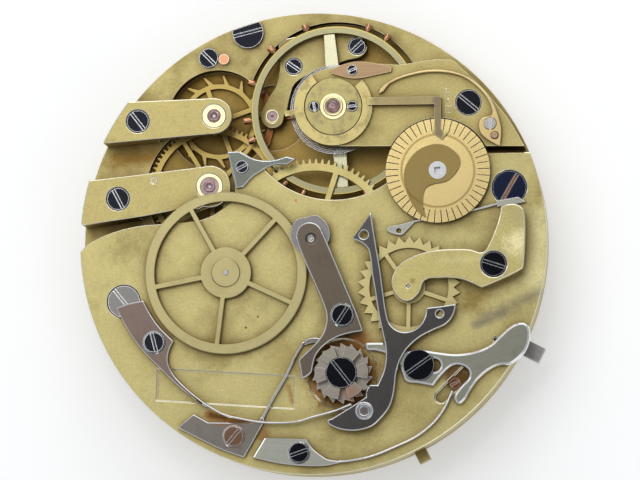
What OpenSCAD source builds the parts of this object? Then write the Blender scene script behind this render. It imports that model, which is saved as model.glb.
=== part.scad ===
// Pocket chronograph movement, seen with its bridge side up.
// The origin is the centre of the dial side face of the main plate and +Z points to the bridges.
// All sizes are in millimetres.

/* [Frame] */
// Diameter of the movement
movement_d = 43; // [42.8:0.1:44]
// Thickness of the main plate
plate_t = 2; // [1.95:0.05:2.05]
// Height of the bridge top above the main plate
bridge_h = 2.9; // [2.85:0.05:3.1]
// Thickness of the roof of the small cocks
cock_roof_t = 0.8; // [0.6:0.05:0.85]
// Height of the balance cock top above the main plate
balance_cock_h = 3.2; // [3.1:0.05:3.3]
// Thickness of the roof of the balance cock
balance_cock_roof_t = 0.9; // [0.7:0.05:0.95]
// Thickness of the minute counter cock arm
counter_cock_t = 0.5; // [0.4:0.05:0.7]
// Depth of the bare sunk panel in the bridge
panel_depth = 0.12; // [0.05:0.01:0.2]

/* [Wells in the plate] */
// Radius of the balance well
well_r = 8.4; // [8.3:0.05:8.5]
// Height of the floor of the balance well
well_floor = 0.8; // [0.75:0.05:0.9]
// Height of the floor under the escape wheel
escape_floor = 0.45; // [0.4:0.01:0.5]
// Height of the floor under the fourth wheel
fourth_floor = 1.15; // [1.1:0.01:1.2]
// Height of the floor of the barrel pocket
barrel_floor = 1; // [0.95:0.01:1.02]
// Depth of the winding recess on the dial side
winding_depth = 0.65; // [0.62:0.01:0.68]
// Depth of the motion work recess on the dial side
motion_depth = 0.6; // [0.58:0.01:0.65]
// Radius of the cut in the bridge round the balance
bridge_arc_r = 8.55; // [8.45:0.05:8.6]
// Room round the screws of the balance under the bridge
balance_room = 0.3; // [0.25:0.01:0.34]
// Room round the tips of the wheels in their pockets
wheel_room = 0.15; // [0.12:0.01:0.18]

/* [Going train] */
// Module of the barrel and centre pinion teeth
barrel_module = 0.2; // [0.198:0.001:0.202]
// Module of the centre wheel and third pinion teeth
centre_module = 0.18778; // [0.187:0.0001:0.189]
// Module of the third wheel and fourth pinion teeth
third_module = 0.1931; // [0.192:0.0001:0.194]
// Module of the fourth wheel and escape pinion teeth
fourth_module = 0.14914; // [0.148:0.0001:0.15]
// Thickness of the train wheels
wheel_t = 0.25; // [0.2:0.01:0.28]
// Radius of the plain train arbors
arbor_r = 0.3; // [0.25:0.01:0.32]
// Radius of the train pivots
pivot_r = 0.1; // [0.08:0.01:0.12]
// Running gap round each pivot
pivot_gap = 0.03; // [0.02:0.01:0.05]
// Outer radius of the hollow centre arbor
centre_tube_r = 0.6; // [0.58:0.01:0.62]
// Bore radius of the hollow centre arbor
centre_bore_r = 0.32; // [0.31:0.01:0.36]
// Outer radius of the centre arbor inside the cannon pinion
hand_tube_r = 0.45; // [0.43:0.01:0.47]
// Radius of the seat of the minute hand
hand_seat_r = 0.62; // [0.6:0.01:0.64]

/* [Barrel] */
// Outer radius of the barrel drum
drum_r = 7.55; // [7.4:0.05:7.6]
// Wall thickness of the barrel drum
drum_wall = 0.25; // [0.2:0.01:0.4]
// Thickness of the mainspring strip
mainspring_t = 0.16; // [0.1:0.01:0.2]
// Number of turns of the mainspring
mainspring_turns = 8; // [6:1:8]
// Radius of the core of the barrel arbor
barrel_core_r = 1.9; // [1.6:0.1:2]

/* [Balance and escapement] */
// Outer radius of the balance rim
balance_r = 7.85; // [7.8:0.01:7.9]
// Radial width of the balance rim
balance_rim_w = 0.65; // [0.5:0.05:0.8]
// Height of the balance rim
balance_rim_h = 0.6; // [0.5:0.05:0.7]
// Head radius of the balance rim screws
balance_screw_r = 0.32; // [0.25:0.01:0.34]
// Radius of the escape wheel at its tooth tips
escape_r = 4.35; // [4.3:0.01:4.38]
// Number of escape wheel teeth
escape_teeth = 15; // [15:1:15]
// Number of turns of the hairspring
hairspring_turns = 7; // [5:1:7]
// Thickness of the hairspring strip
hairspring_t = 0.05; // [0.04:0.01:0.05]
// Outer radius of the hairspring
hairspring_r = 4.2; // [4.19:0.01:4.3]

/* [Chronograph work] */
// Tip radius of the driving wheel on the third arbor
driving_tip_r = 7.53; // [7.5:0.01:7.53]
// Number of teeth of the driving wheel
driving_teeth = 225; // [225:15:225]
// Tip radius of the minute counter wheel
counter_r = 4.7; // [4.6:0.01:4.71]
// Number of teeth of the minute counter wheel
counter_teeth = 30; // [30:1:30]
// Reach of the minute finger on the runner
finger_r = 5.2; // [5.1:0.01:5.21]
// Thickness of the hammer
hammer_t = 0.3; // [0.2:0.01:0.33]
// Thickness of the coupling lever
coupling_t = 0.35; // [0.25:0.01:0.4]
// Thickness of the operating lever
lever_t = 0.5; // [0.4:0.01:0.55]
// Tip radius of the ratchet teeth of the column wheel
column_ratchet_r = 2.8; // [2.75:0.01:2.82]
// Number of ratchet teeth of the column wheel
column_teeth = 18; // [18:6:18]
// Outer radius of the columns
column_r = 2.45; // [2.4:0.01:2.47]
// Number of columns
columns = 6; // [6:1:6]
// Width of the thin steel spring blades
blade_w = 0.2; // [0.12:0.01:0.22]

/* [Regulator] */
// Radius of the slotted snail disc
snail_disc_r = 4.78; // [4.7:0.01:4.8]
// Number of radial slots in the snail disc
snail_slots = 45; // [30:1:45]
// Thickness of the slotted snail disc
snail_disc_t = 0.3; // [0.2:0.01:0.32]
// Inner radius of the index ring
index_ring_r = 2.7; // [2.68:0.01:2.75]
// Radial width of the index ring
index_ring_w = 0.9; // [0.8:0.01:0.95]
// Radius of the cap jewel plate
cap_plate_r = 2.62; // [2.5:0.01:2.66]

/* [Motion and winding work] */
// Module of the cannon pinion and minute wheel teeth
minute_module = 0.15; // [0.148:0.001:0.152]
// Module of the winding wheel teeth
winding_module = 0.2; // [0.198:0.001:0.202]
// Thickness of the winding wheels
winding_t = 0.3; // [0.25:0.01:0.32]
// Radius of the stem bearing in the frame
stem_r = 0.7; // [0.65:0.01:0.75]
// Width of the square end of the stem
stem_square = 1.45; // [1.2:0.01:1.5]

/* [Screws and jewels] */
// Width of the screw slots
slot_w = 0.26; // [0.15:0.01:0.3]
// Depth of the screw slots
slot_d = 0.18; // [0.1:0.01:0.22]
// Gap round a sunk screw head
head_gap = 0.08; // [0.04:0.01:0.12]
// Shank radius of the large screws
large_shank_r = 0.55; // [0.4:0.01:0.6]
// Shank radius of the small screws
small_shank_r = 0.3; // [0.2:0.01:0.34]
// Thickness of the jewels
jewel_t = 0.35; // [0.25:0.01:0.4]
// Running gap of the larger bearings
bearing_gap = 0.02; // [0.02:0.01:0.04]

/* [Hidden] */
$fn = 64;

// Colours
gilt = "#b9a356";
brass = "#cdb267";
steel = "#8f9094";
dark_steel = "#4b4c52";
purple_steel = "#7a6c6c";
blued = "#23263f";
copper = "#b5744c";
ruby = "#b06a6c";

// Small allowances
eps = 0.01;
plate_r = movement_d / 2;
top = plate_t + bridge_h;
cock_under = top - cock_roof_t;
balance_cock_top = plate_t + balance_cock_h;
balance_cock_under = balance_cock_top - balance_cock_roof_t;

// Teeth of the wheels and leaves of the pinions
barrel_teeth = 80;
centre_teeth = 80;
third_teeth = 75;
fourth_teeth = 80;
train_leaves = 10;
escape_leaves = 8;
cannon_teeth = 12;
minute_teeth = 36;
minute_leaves = 10;
hour_teeth = 40;
ratchet_teeth = 43;
transfer_teeth = 29;
crown_teeth = 26;

// Direction from each centre to the next
barrel_dir = -90;
third_dir = 200.79;
fourth_dir = 101.24;
escape_dir = 86.51;
pallet_dir = 3.37;
balance_dir = 3.34;
counter_dir = -26.57;
minute_dir = 150;
transfer_dir = 12.36;
crown_dir = 12.4;

// Centres of the wheels, each one gear reach from the last
function reach(teeth_a, teeth_b, module_mm) = (teeth_a + teeth_b) * module_mm / 2;
function tip(n, module_mm) = module_mm * (n / 2 + 1);
function root(n, module_mm) = module_mm * (n / 2 - 1.25);
function polar(r, a) = [r * cos(a), r * sin(a)];
centre_p = [0, 0];
barrel_p = centre_p + polar(reach(barrel_teeth, train_leaves, barrel_module), barrel_dir);
third_p = centre_p + polar(reach(centre_teeth, train_leaves, centre_module), third_dir);
fourth_p = third_p + polar(reach(third_teeth, train_leaves, third_module), fourth_dir);
escape_p = fourth_p + polar(reach(fourth_teeth, escape_leaves, fourth_module), escape_dir);
pallet_p = escape_p + polar(escape_r + 0.759, pallet_dir);
fork_reach = 4.7;
balance_p = pallet_p + polar(fork_reach + 1.31, balance_dir);
counter_p = centre_p + polar(finger_r + counter_r + 0.05, counter_dir);
column_p = [2.8, -12.3];
hammer_p = [4.85, -15.75];
coupling_p = [2.9, -7.05];
operating_p = [9.8, -11.6];
snail_p = [11.6, 6.2];
motion_reach = reach(cannon_teeth, minute_teeth, minute_module);
minute_p = centre_p + polar(motion_reach, minute_dir);
hour_module = motion_reach * 2 / (minute_leaves + hour_teeth);
transfer_p = barrel_p + polar(reach(ratchet_teeth, transfer_teeth, winding_module), transfer_dir);
crown_p = transfer_p + polar(reach(transfer_teeth, crown_teeth, winding_module), crown_dir);
stem_a = -26.87;
stem_z = 1.6;

// Radii of arbors, posts and pins
barrel_arbor_r = 0.8;
barrel_bearing_r = 1;
third_post_r = 0.2;
escape_arbor_r = 0.25;
fork_arbor_r = 0.2;
staff_r = 0.4;
counter_arbor_r = 0.2;
runner_r = 0.28;
runner_pivot_r = 0.12;
seconds_pivot_r = pivot_r + 0.06;
cannon_r = 0.8;
hour_pipe_r = 1.1;
minute_post_r = 0.3;
click_post_r = 0.3;
snail_post_r = 0.8;
snail_foot_r = 0.6;
hammer_pin_r = 0.35;
jewel_hole_r = 0.2;
cap_setting_r = 1.23;
cap_jewel_r = 0.63;
upper_bearing_r = 0.8;

// Pockets of the wheels and of the balance
balance_screw_out = 0.75;
undercut_r = balance_r + balance_screw_out + balance_room;
barrel_pocket_r = tip(barrel_teeth, barrel_module) + wheel_room;
centre_pocket_r = tip(centre_teeth, centre_module) + wheel_room;
centre_pinion_pocket_r = tip(train_leaves, barrel_module) + wheel_room;
third_pocket_r = tip(third_teeth, third_module) + wheel_room;
third_pinion_pocket_r = tip(train_leaves, centre_module) + wheel_room;
fourth_pocket_r = tip(fourth_teeth, fourth_module) + wheel_room;

// Heights of the train
barrel_z = barrel_floor + 0.1;
drum_h = 1.9;
barrel_teeth_t = 0.4;
centre_pinion_z = barrel_floor + 0.05;
centre_wheel_z = plate_t + 1.2;
third_pinion_z = plate_t + 1;
third_wheel_z = plate_t + 1.7;
fourth_pinion_z = plate_t + 1.55;
pinion_t = 0.5;
fourth_wheel_z = fourth_floor + 0.2;
escape_wheel_z = escape_floor + 0.2;
escape_pinion_z = fourth_wheel_z - 0.15;
balance_z = plate_t + 0.4;
roller_z = escape_wheel_z + wheel_t + 0.45;
hairspring_z = balance_z + balance_rim_h + 0.5;
hairspring_h = 0.2;

// Heights of the chronograph work above the bridge
counter_z = top + 0.1;
finger_z = top + 0.08;
driving_z = top + 0.4;
hammer_z = top + 0.7;
heart_z = hammer_z + 0.02;
heart_t = hammer_t - 0.07;
coupling_z = hammer_z + hammer_t + 0.05;
counter_cock_z = coupling_z + 0.05;
lever_z = top + 0.1;
foot_gap = 0.02;
spring_foot_t = 0.5;
jumper_t = 0.38;
snail_disc_z = top + 0.4;
snail_cam_t = 0.35;
index_z = balance_cock_top + 0.02;
index_arm_z = snail_disc_z + snail_disc_t + 0.05;
index_top = index_arm_z + 0.25;

// Dial side heights
winding_z = winding_depth - 0.05 - winding_t;
hour_z = 0.03;
hour_t = 0.19;
minute_z = 0.3;
minute_t = 0.2;
cannon_z = 0.25;
cannon_t = 0.3;
hour_end_z = -1.2;
minute_seat_z = hour_end_z - 0.05;
hand_end_z = -1.9;

// Screws of the frame: place, head radius, shank radius, head underside, head height, foot, slot angle
case_screws = [
    [polar(plate_r - 2.81, 14.44), 1.53, large_shank_r, top - 0.45, 0.4, 0.9, 60],
    [polar(plate_r - 3.24, 197.63), 1.47, large_shank_r, top - 0.45, 0.4, 0.9, -50]
];
cock_screws = [
    [polar(plate_r - 1.81, 145.34), 1, large_shank_r, top - 0.45, 0.42, 0.8, -52],
    [polar(plate_r - 3.06, 167.47), 1, large_shank_r, top - 0.45, 0.42, 0.8, -62]
];
balance_cock_screw = [[14.4, 12.5], 1.15, large_shank_r, balance_cock_top - 0.45, 0.42, 0.8, -40];
plate_pin_p = [-8.5, 17.25];
plate_pin_r = 0.48;
index_pin_p = [16.8, 9.4];
index_pin_r = 0.27;
dowel_p = [-14.66, 5.68];
dowel_r = 0.3;
dog_screw = [polar(plate_r - 0.83, 107.57), 1.44, large_shank_r, plate_t, 0.5, 0.5, 14];
pallet_screws = [
    [[-2, 16.55], 0.73, small_shank_r, plate_t - 0.3, 0.3, 0.2, -35],
    [[3.9, 18.35], 0.74, small_shank_r, plate_t - 0.3, 0.3, 0.2, 42]
];
lone_screw = [[-9.95, 17.4], 0.88, large_shank_r, plate_t - 0.1, 0.4, 0.5, -45];
plate_screws = concat(case_screws, cock_screws, pallet_screws, [lone_screw, balance_cock_screw]);
counter_cock_screw = [
    [16.7, -2.5], 1.1, large_shank_r, counter_cock_z + counter_cock_t - 0.35, 0.4, top - 1.4, -18
];
slot_screw = [[13.06, -13.2], 0.5, small_shank_r, top - 0.6, 0.3, top - 1.4, 30];

// Screws of the work that stands on the bridge
hammer_spring_screw = [[-14.5, -9.35], 0.9, small_shank_r, top + 0.4, 0.3, top - 1.2, -75];
column_jumper_screw = [[-7.15, -18], 0.88, small_shank_r, top + 0.3, 0.3, top - 1.2, 50];
operating_spring_screw = [[-1.15, -19.5], 0.87, small_shank_r, top + 0.4, 0.3, top - 1.2, 19];
coupling_screw = [coupling_p, 0.95, 0.45, coupling_z + coupling_t - 0.1, 0.3, top - 1, 57];
operating_screw = [operating_p, 1.4, 0.5, lever_z + lever_t + 0.05, 0.32, top - 1.6, 35];
column_screw = [column_p, 1.38, 0.6, top + 1.2, 0.45, top - 1.3, -52];
guard_screw = [[-6.43, 6.78], 0.57, 0.25, top + 0.35, 0.25, top - 0.6, 27];
index_spring_screw = [
    [16.4, 10.48], 0.52, 0.25, balance_cock_top + 0.3, 0.25, balance_cock_top - 1, 90
];
stud_screw = [[3.75, 15.6], 0.46, 0.2, balance_cock_top + 0.3, 0.2, balance_cock_top - 0.7, 22];
foot_screws = [hammer_spring_screw, column_jumper_screw, operating_spring_screw];
post_screws = [coupling_screw, operating_screw, column_screw, guard_screw];
cap_plate_z = balance_cock_top;
cap_plate_t = 0.35;
cap_screw_reach = 1.75;
cap_screws = [
    for (s = [[1, 3], [-1, 100]])
        [
            balance_p + [s[0] * cap_screw_reach, 0], 0.45, 0.2, cap_plate_z + cap_plate_t - 0.1, 0.22,
            cap_plate_z - 0.6, s[1]
        ]
];

// Curves through points: a point with a third value is a sharp corner
function unit(v) = v / norm(v);
function xy(p) = [p[0], p[1]];
function hermite(p, u, q, v, t) =
    let (s = norm(q - p))
    (2 * t ^ 3 - 3 * t ^ 2 + 1) * p + (t ^ 3 - 2 * t ^ 2 + t) * s * u
    + (3 * t ^ 2 - 2 * t ^ 3) * q + (t ^ 3 - t ^ 2) * s * v;
function heading(a, b, c) = unit(unit(b - a) + unit(c - b));
function piece(a, b, c, d, sharp_b, sharp_c, steps) =
    let (
        u = sharp_b ? unit(c - b) : heading(a, b, c),
        v = sharp_c ? unit(c - b) : heading(b, c, d)
    )
    [for (k = [0 : sharp_b && sharp_c ? 0 : steps - 1]) hermite(b, u, c, v, k / steps)];
function curved(p, steps = 4) =
    let (n = len(p))
    [
        for (i = [0 : n - 1])
            each piece(
                xy(p[(i + n - 1) % n]), xy(p[i]), xy(p[(i + 1) % n]), xy(p[(i + 2) % n]),
                len(p[i]) > 2, len(p[(i + 1) % n]) > 2, steps
            )
    ];
function open_curve(p, steps = 4) =
    let (n = len(p))
    concat(
        [
            for (i = [0 : n - 2])
                each piece(
                    xy(p[max(i - 1, 0)]), xy(p[i]), xy(p[i + 1]), xy(p[min(i + 2, n - 1)]),
                    i == 0, i == n - 2, steps
                )
        ],
        [xy(p[n - 1])]
    );
function side(c, i) =
    let (d = unit(c[min(i + 1, len(c) - 1)] - c[max(i - 1, 0)]))
    [-d[1], d[0]];
function ribbon(c, w) = concat(
    [for (i = [0 : len(c) - 1]) c[i] + side(c, i) * w / 2],
    [for (i = [len(c) - 1 : -1 : 0]) c[i] - side(c, i) * w / 2]
);
function spiral(r0, r1, turns, a0 = 0) = [
    for (i = [0 : 24 * turns]) polar(r0 + (r1 - r0) * i / (24 * turns), a0 + 15 * i)
];
function least_gap(path, strip) =
    min([
        for (i = [0 : len(path) - 25], j = [i + 20 : min(i + 28, len(path) - 1)]) norm(path[i] - path[j])
    ]) - strip;

// Basic solids
module disc(p, r, z0, z1) {
    translate([p[0], p[1], z0]) cylinder(r = r, h = z1 - z0);
}

module slab(points, z0, z1) {
    translate([0, 0, z0]) linear_extrude(z1 - z0) polygon(points);
}

module tube(p, r_out, r_in, z0, z1) {
    difference() {
        disc(p, r_out, z0, z1);
        disc(p, r_in, z0 - eps, z1 + eps);
    }
}

module bar(p, q, w, z0, z1) {
    d = q - p;
    translate([p[0], p[1], z0])
        rotate(atan2(d[1], d[0]))
            translate([0, -w / 2, 0]) cube([norm(d), w, z1 - z0]);
}

module rounded_bar(p, q, w, z0, z1) {
    bar(p, q, w - 2 * eps, z0, z1);
    disc(p, w / 2, z0, z1);
    disc(q, w / 2, z0, z1);
}

// A screw and the hole that takes it
module screw(s) {
    difference() {
        union() {
            disc(s[0], s[1], s[3], s[3] + s[4]);
            disc(s[0], s[2], s[5], s[3] + eps);
        }
        translate([s[0][0], s[0][1], s[3] + s[4] - slot_d])
            rotate(s[6])
                translate([-s[1] - eps, -min(slot_w, s[1] / 3) / 2, 0])
                    cube([2 * s[1] + 2 * eps, min(slot_w, s[1] / 3), slot_d + eps]);
    }
}

module screw_hole(s) {
    disc(s[0], s[2], s[5], s[3] + 2 * eps);
    disc(s[0], s[1] + head_gap, s[3], s[3] + 3);
}

// A toothed outline of straight sided teeth, each tooth narrower at its tip
function teeth(n, r_root, r_tip, root_part, tip_part, phase = 0) = [
    for (k = [0 : n - 1])
        for (c = [[r_root, -root_part], [r_tip, -tip_part], [r_tip, tip_part], [r_root, root_part]])
            polar(c[0], phase + (k + c[1] / 2) * 360 / n)
];
function pointed_teeth(n, r_root, r_tip, phase = 0, lean = 0) = [
    for (k = [0 : n - 1])
        for (c = [[r_root, -0.5], [r_tip, lean]])
            polar(c[0], phase + (k + c[1]) * 360 / n)
];

// A gear: teeth, module, tooth thickness as a part of the pitch, phase
module gear(p, n, m, z0, z1, thick = 0.42, phase = 0, add = 1, ded = 1.25) {
    translate([p[0], p[1], z0])
        linear_extrude(z1 - z0)
            polygon(teeth(n, m * (n / 2 - ded), m * (n / 2 + add), thick * 1.35, thick * 0.5, phase));
}

module spokes(p, count, r_in, r_out, w, z0, z1, a0) {
    for (k = [0 : count - 1])
        bar(p + polar(r_in, a0 + k * 360 / count), p + polar(r_out, a0 + k * 360 / count), w, z0, z1);
}

// A toothed blank given as the child, opened between hub and rim and spanned by spokes
module spoked(p, rim_in, hub, spoke_count, spoke_w, z0, z1, a0, bore) {
    difference() {
        children();
        disc(p, rim_in, z0 - eps, z1 + eps);
    }
    tube(p, hub, bore, z0, z1);
    spokes(p, spoke_count, hub - 0.1, rim_in + 0.1, spoke_w, z0, z1, a0);
}

// A heart shaped return cam
function heart(lobe, low, steps = 36) = [
    for (i = [0 : 2 * steps - 1])
        let (a = i * 180 / steps, f = abs(a - 180) / 180)
        polar(low + (lobe - low) * (1 - f) - max(0, 0.14 - f) * 3, a)
];

// Outlines on the bridge side
bridge_edge = [
    [-24, -0.98, 1], [-21.52, -0.98, 1], [-20.87, -0.27], [-19.23, 0.62], [-16.18, 1.45], [-13.83, 1.63],
    [-11.99, 1.77], [-10.33, 1.96], [-9.13, 2.42], [-7.96, 3.23], [-7.54, 3.54, 1], [-7.11, 4.66],
    [-7.48, 6.43], [-7.75, 8.11, 1], [-6.65, 8.29, 1], [-5.27, 7.46, 1], [-4.62, 6.71, 1],
    [-2.5, 9, 1], [8, 9, 1], [9.3, 7.88, 1], [24, 7.88, 1], [24, -24, 1], [-24, -24, 1]
];
panel = [[-14.29, -11.7], [-1.49, -12.49], [-1.68, -15.47], [-14.38, -14.63]];
escape_cock_edge = [
    [-24, 13.04], [-16.47, 13.04], [-9.13, 13.27], [-9.13, 9.94], [-18.82, 9.17], [-24, 9.17]
];
fourth_cock_edge = [
    [-24, 5.5, 1], [-20, 5.8, 1], [-9.96, 6.92, 1], [-9.9, 3.3], [-12.65, 2.89], [-15.58, 2.35],
    [-20.7, 1.63, 1], [-24, 1.63, 1]
];
balance_cock_edge = [
    [2.5, 8.62, 1], [19.5, 8.43, 1], [18.19, 10.72], [17.02, 12.26], [15.36, 14.17], [13.61, 15.84],
    [13.13, 16.31], [12.66, 16.49], [8.08, 16.07, 1], [6.15, 16.19, 1], [3, 15.7, 1]
];
pallet_cock_edge = [
    [-4.9, 11.5, 1], [-2.85, 12.01], [-2.43, 13.4], [-1.9, 14.9], [-0.2, 15.9], [3, 17.05],
    [4.3, 17.4], [4.85, 18.3], [4.3, 19.3, 1], [1, 19.9, 1], [-3.5, 19, 1], [-3.33, 17.57],
    [-3.6, 14.9], [-4.44, 13.51], [-5, 12.3]
];
counter_cock_edge = [
    [17.4, 2.78, 1], [17.9, 2.95], [18.81, 2.95], [19.41, 2.53], [19.55, 1.88], [19.55, -0.83],
    [19.38, -2.89, 1], [18.67, -3.32], [17.76, -3.75], [16.28, -4.39], [15.57, -4.65, 1],
    [14.59, -4.18], [13.53, -3.82], [11.77, -3.75], [10.46, -3.92], [9.9, -5.1], [8.86, -5.85],
    [7.91, -5.39], [7.37, -4.15], [7.75, -2.92], [8.52, -2.15], [9.89, -1.53], [11.42, -1.18],
    [12.95, -1.1], [14.59, -1.15], [15.71, -1.4], [16.35, -0.54], [16.84, 0.6], [17.19, 1.6]
];
guard_edge = [
    [-7.85, 8.22, 1], [-6.75, 8.25, 1], [-5.33, 7.53], [-4.43, 7.36], [-3.46, 7.4], [-2.36, 7.73, 1],
    [-1.45, 7.47, 1], [-2.29, 6.94, 1], [-3.33, 6.97], [-4.11, 6.71], [-4.91, 6.23], [-5.4, 5.93],
    [-6.36, 4.91, 1], [-7.04, 4.82, 1], [-7.21, 5.86], [-7.53, 7.04]
];
coupling_edge = [
    [-1.36, 0.1, 1], [-1.2, -0.5], [-0.6, -2.03], [0.25, -3.96], [1.04, -5.78], [1.41, -6.95],
    [1.35, -7.92], [0.99, -8.88], [-1.12, -11.07, 1], [-0.83, -12.88, 1], [0.05, -12.3],
    [0.22, -11.6], [0.5, -10.7], [1.2, -9.84], [2.47, -9.04], [3.53, -8.72], [4.79, -8.51, 1],
    [4.26, -6.95], [3.63, -5.45], [2.36, -2.36], [1.09, 0.6, 1]
];
hammer_edge = [
    [5.5, 2.41, 1], [3.71, -0.06, 1], [4.55, -0.36], [5.15, -0.9], [5.31, -1.3], [5.54, -3.22],
    [5.83, -4.91], [6.16, -7.05], [6.55, -8.86], [6.78, -9.99], [6.78, -11.24], [6.55, -12.26],
    [6.05, -13.38, 1], [5.3, -13.36, 1], [4.98, -14.0, 1], [4.98, -14.48, 1], [4.09, -15.07, 1],
    [1.97, -16.36], [1.45, -16.68], [2.18, -17.27], [3.24, -17.54], [4.3, -17.54], [5.57, -17.16],
    [6.41, -16.41], [7.15, -15.45], [7.52, -14.38], [7.68, -13.31], [7.79, -12.35], [8.1, -11.28],
    [8.63, -10.32], [9.23, -9.66], [10.12, -8.97], [11.34, -8.36], [12.24, -7.96], [12.8, -7.4],
    [13.13, -6.72], [13.24, -6.04, 1], [12.02, -6.22], [10.51, -6.38, 1], [10.45, -6.94],
    [10.12, -7.74], [9.45, -8.36], [8.55, -8.58], [7.78, -8.36], [7.16, -7.74], [6.89, -6.83],
    [6.66, -5.25], [6.38, -3.08], [5.96, -0.6], [5.77, 0.63]
];
hammer_spring_edge = [
    [-18.06, -6.16, 1], [-16.87, -5.73], [-15.54, -5.48, 1], [-14.83, -6.78], [-14.05, -7.89],
    [-12.7, -9.24, 1], [-13.06, -9.93], [-13.24, -11.06], [-12.82, -12.13], [-11.3, -13.75],
    [-9.5, -15.15, 1], [-9.65, -15.34, 1], [-11.45, -14.05], [-12.82, -12.88], [-13.88, -11.81],
    [-15.29, -10.44], [-16.38, -9.08], [-17.22, -7.76]
];
hammer_spring_line = [
    [-9.9, -14.95], [-8.07, -16.0], [-6.48, -16.4], [-4.89, -16.7], [-3.31, -16.8], [-1.2, -16.68],
    [0.07, -16.3], [2.18, -15.72], [3.7, -15.1]
];
column_jumper_edge = [
    [-10.87, -15.93, 1], [-12.35, -17.16, 1], [-10.17, -18.29], [-8.17, -19.25], [-6.22, -19.94, 1],
    [-5.42, -18.56], [-4.52, -16.94, 1], [-4.3, -16.4, 1], [-4.72, -16.2, 1], [-4.85, -16.75, 1],
    [-9.5, -16.68, 1]
];
column_jumper_line = [[-4.55, -16.4], [-3.73, -14.81], [-2.36, -12.45], [-1.3, -10.3], [-0.7, -9.4]];
column_jumper_head = [
    [-0.75, -9.5, 1], [-0.55, -9.2], [-0.14, -9.02], [0.6, -9.02], [1.05, -9.2], [1.36, -9.72, 1],
    [0.6, -9.6], [0.1, -9.5], [-0.6, -9.7, 1]
];
operating_lever_edge = [
    [4.83, -9.46, 1], [6.57, -9.46, 1], [7.3, -9.95], [9.17, -10.28], [10.01, -10.17], [11.57, -10.39],
    [13.13, -10.56], [14.92, -10.34], [16.37, -9.71], [17.15, -8.97], [18.38, -7.96], [19.4, -7.75],
    [19.8, -8.1], [19.94, -9.1], [19.49, -10.45], [18.71, -11.24], [18.15, -11.58], [17.15, -11.69],
    [16.25, -12.09], [15.25, -12.93], [14.59, -13.83], [13.91, -14.91], [13.39, -15.19],
    [12.97, -14.59], [13.6, -13.52], [14.34, -12.67], [14.24, -12.02], [13.13, -11.63],
    [11.91, -12.53], [11.12, -13.55, 1], [9.79, -13.27], [8.55, -13.05], [8.28, -12.37],
    [7.8, -11.3], [6.57, -10.44, 1], [5.7, -10.25], [5.0, -10.28, 1]
];
operating_spring_edge = [
    [-4.3, -18.13, 1], [-0.51, -18.23, 1], [0.07, -19.09], [0.92, -19.79], [1.45, -20.1],
    [2.4, -20.25, 1], [2.4, -20.48, 1], [1.45, -20.69], [-1.2, -20.69], [-3.31, -20.42],
    [-5.4, -19.94, 1]
];
operating_spring_line = [
    [2.2, -20.36], [3.24, -20.28], [5.36, -19.88], [7.47, -19.06], [9.59, -18.03], [11.17, -16.75],
    [12.15, -15.45], [12.85, -13.95]
];
counter_jumper_edge = [
    [6.87, 0.99, 1], [7.16, 1.16], [7.9, 1.26], [9.44, 1.71, 1], [9.4, 1.5, 1], [9.28, 1.35],
    [8.64, 0.7], [8.31, 0.37], [7.95, 0.35], [7.26, 0.54], [6.89, 0.77, 1]
];
counter_jumper_line = [
    [9.3, 1.58], [10.66, 1.88], [13, 2.3], [15.5, 2.75], [17.2, 3.2]
];
counter_jumper_foot = [[17, 2.85], [16.9, 3.4], [18.9, 3.75], [19.6, 3.3], [18.8, 3.1]];
stud_edge = [
    [1.72, 15.62, 1], [2.4, 15.94], [3.89, 16.37], [5.58, 16.26], [7.38, 15.83, 1], [7.32, 15.41, 1],
    [5.99, 15.14], [3.99, 14.82], [3.04, 14.98], [1.88, 15.3, 1]
];
index_spring_edge = [
    [6.3, 13.4], [7.19, 14.28], [9.04, 15.0], [10.88, 15.3], [12.5, 15.22], [13.97, 14.8],
    [15.1, 14.0], [16.02, 13.0], [16.5, 12], [16.56, 11.29], [15.57, 10.91], [15.45, 9.79],
    [15.95, 9.16], [17.3, 8.35, 1], [17.42, 10.04], [16.93, 11.78], [16.25, 13.09], [15.25, 14.17],
    [14.02, 14.98], [12.5, 15.42], [10.88, 15.5], [8.98, 15.18], [7.05, 14.42], [6.2, 13.5]
];
snail_edge = curved([
    polar(2.02, 11), polar(2.3, 28), polar(2.34, 51), polar(2.41, 80), polar(2.44, 107),
    polar(2.6, 136), polar(2.83, 162), polar(3.12, 185), polar(3.38, 210), polar(3.85, 232),
    polar(4.3, 248), concat(polar(4.42, 256), 1), polar(3.6, 248), polar(2.62, 239),
    polar(1.92, 235), polar(1.4, 246), polar(1.14, 275), polar(1.28, 313), polar(1.6, 349)
], 3);

// Stem line and the keyless work on it
module stem_frame(z = stem_z) {
    translate([0, 0, z]) rotate([0, 0, stem_a]) rotate([0, 90, 0]) children();
}

stem_start = 10.9;
stem_round_end = plate_r + 0.2;
stem_end = plate_r + 1.9;
pinion_bore_r = 0.45;
pinion_from = 15.9;
pinion_to = 17.2;
slide_from = 12.6;
slide_to = 15.2;
groove_at = 13.7;
groove_w = 0.55;
winding_pinion_r = 0.95;
slide_r = 0.78;
groove_r = 0.5;
square_w = 0.5;
setting_p = polar(groove_at, stem_a) + polar(3, stem_a + 90);
click_p = barrel_p + [-5.4, 2.9];
click_tip = barrel_p + polar(ratchet_teeth * winding_module / 2 + 0.9 * winding_module + 0.05, 168);
click_spring_p = barrel_p + [-6.9, -0.6];
post_r = 0.6;

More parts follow.
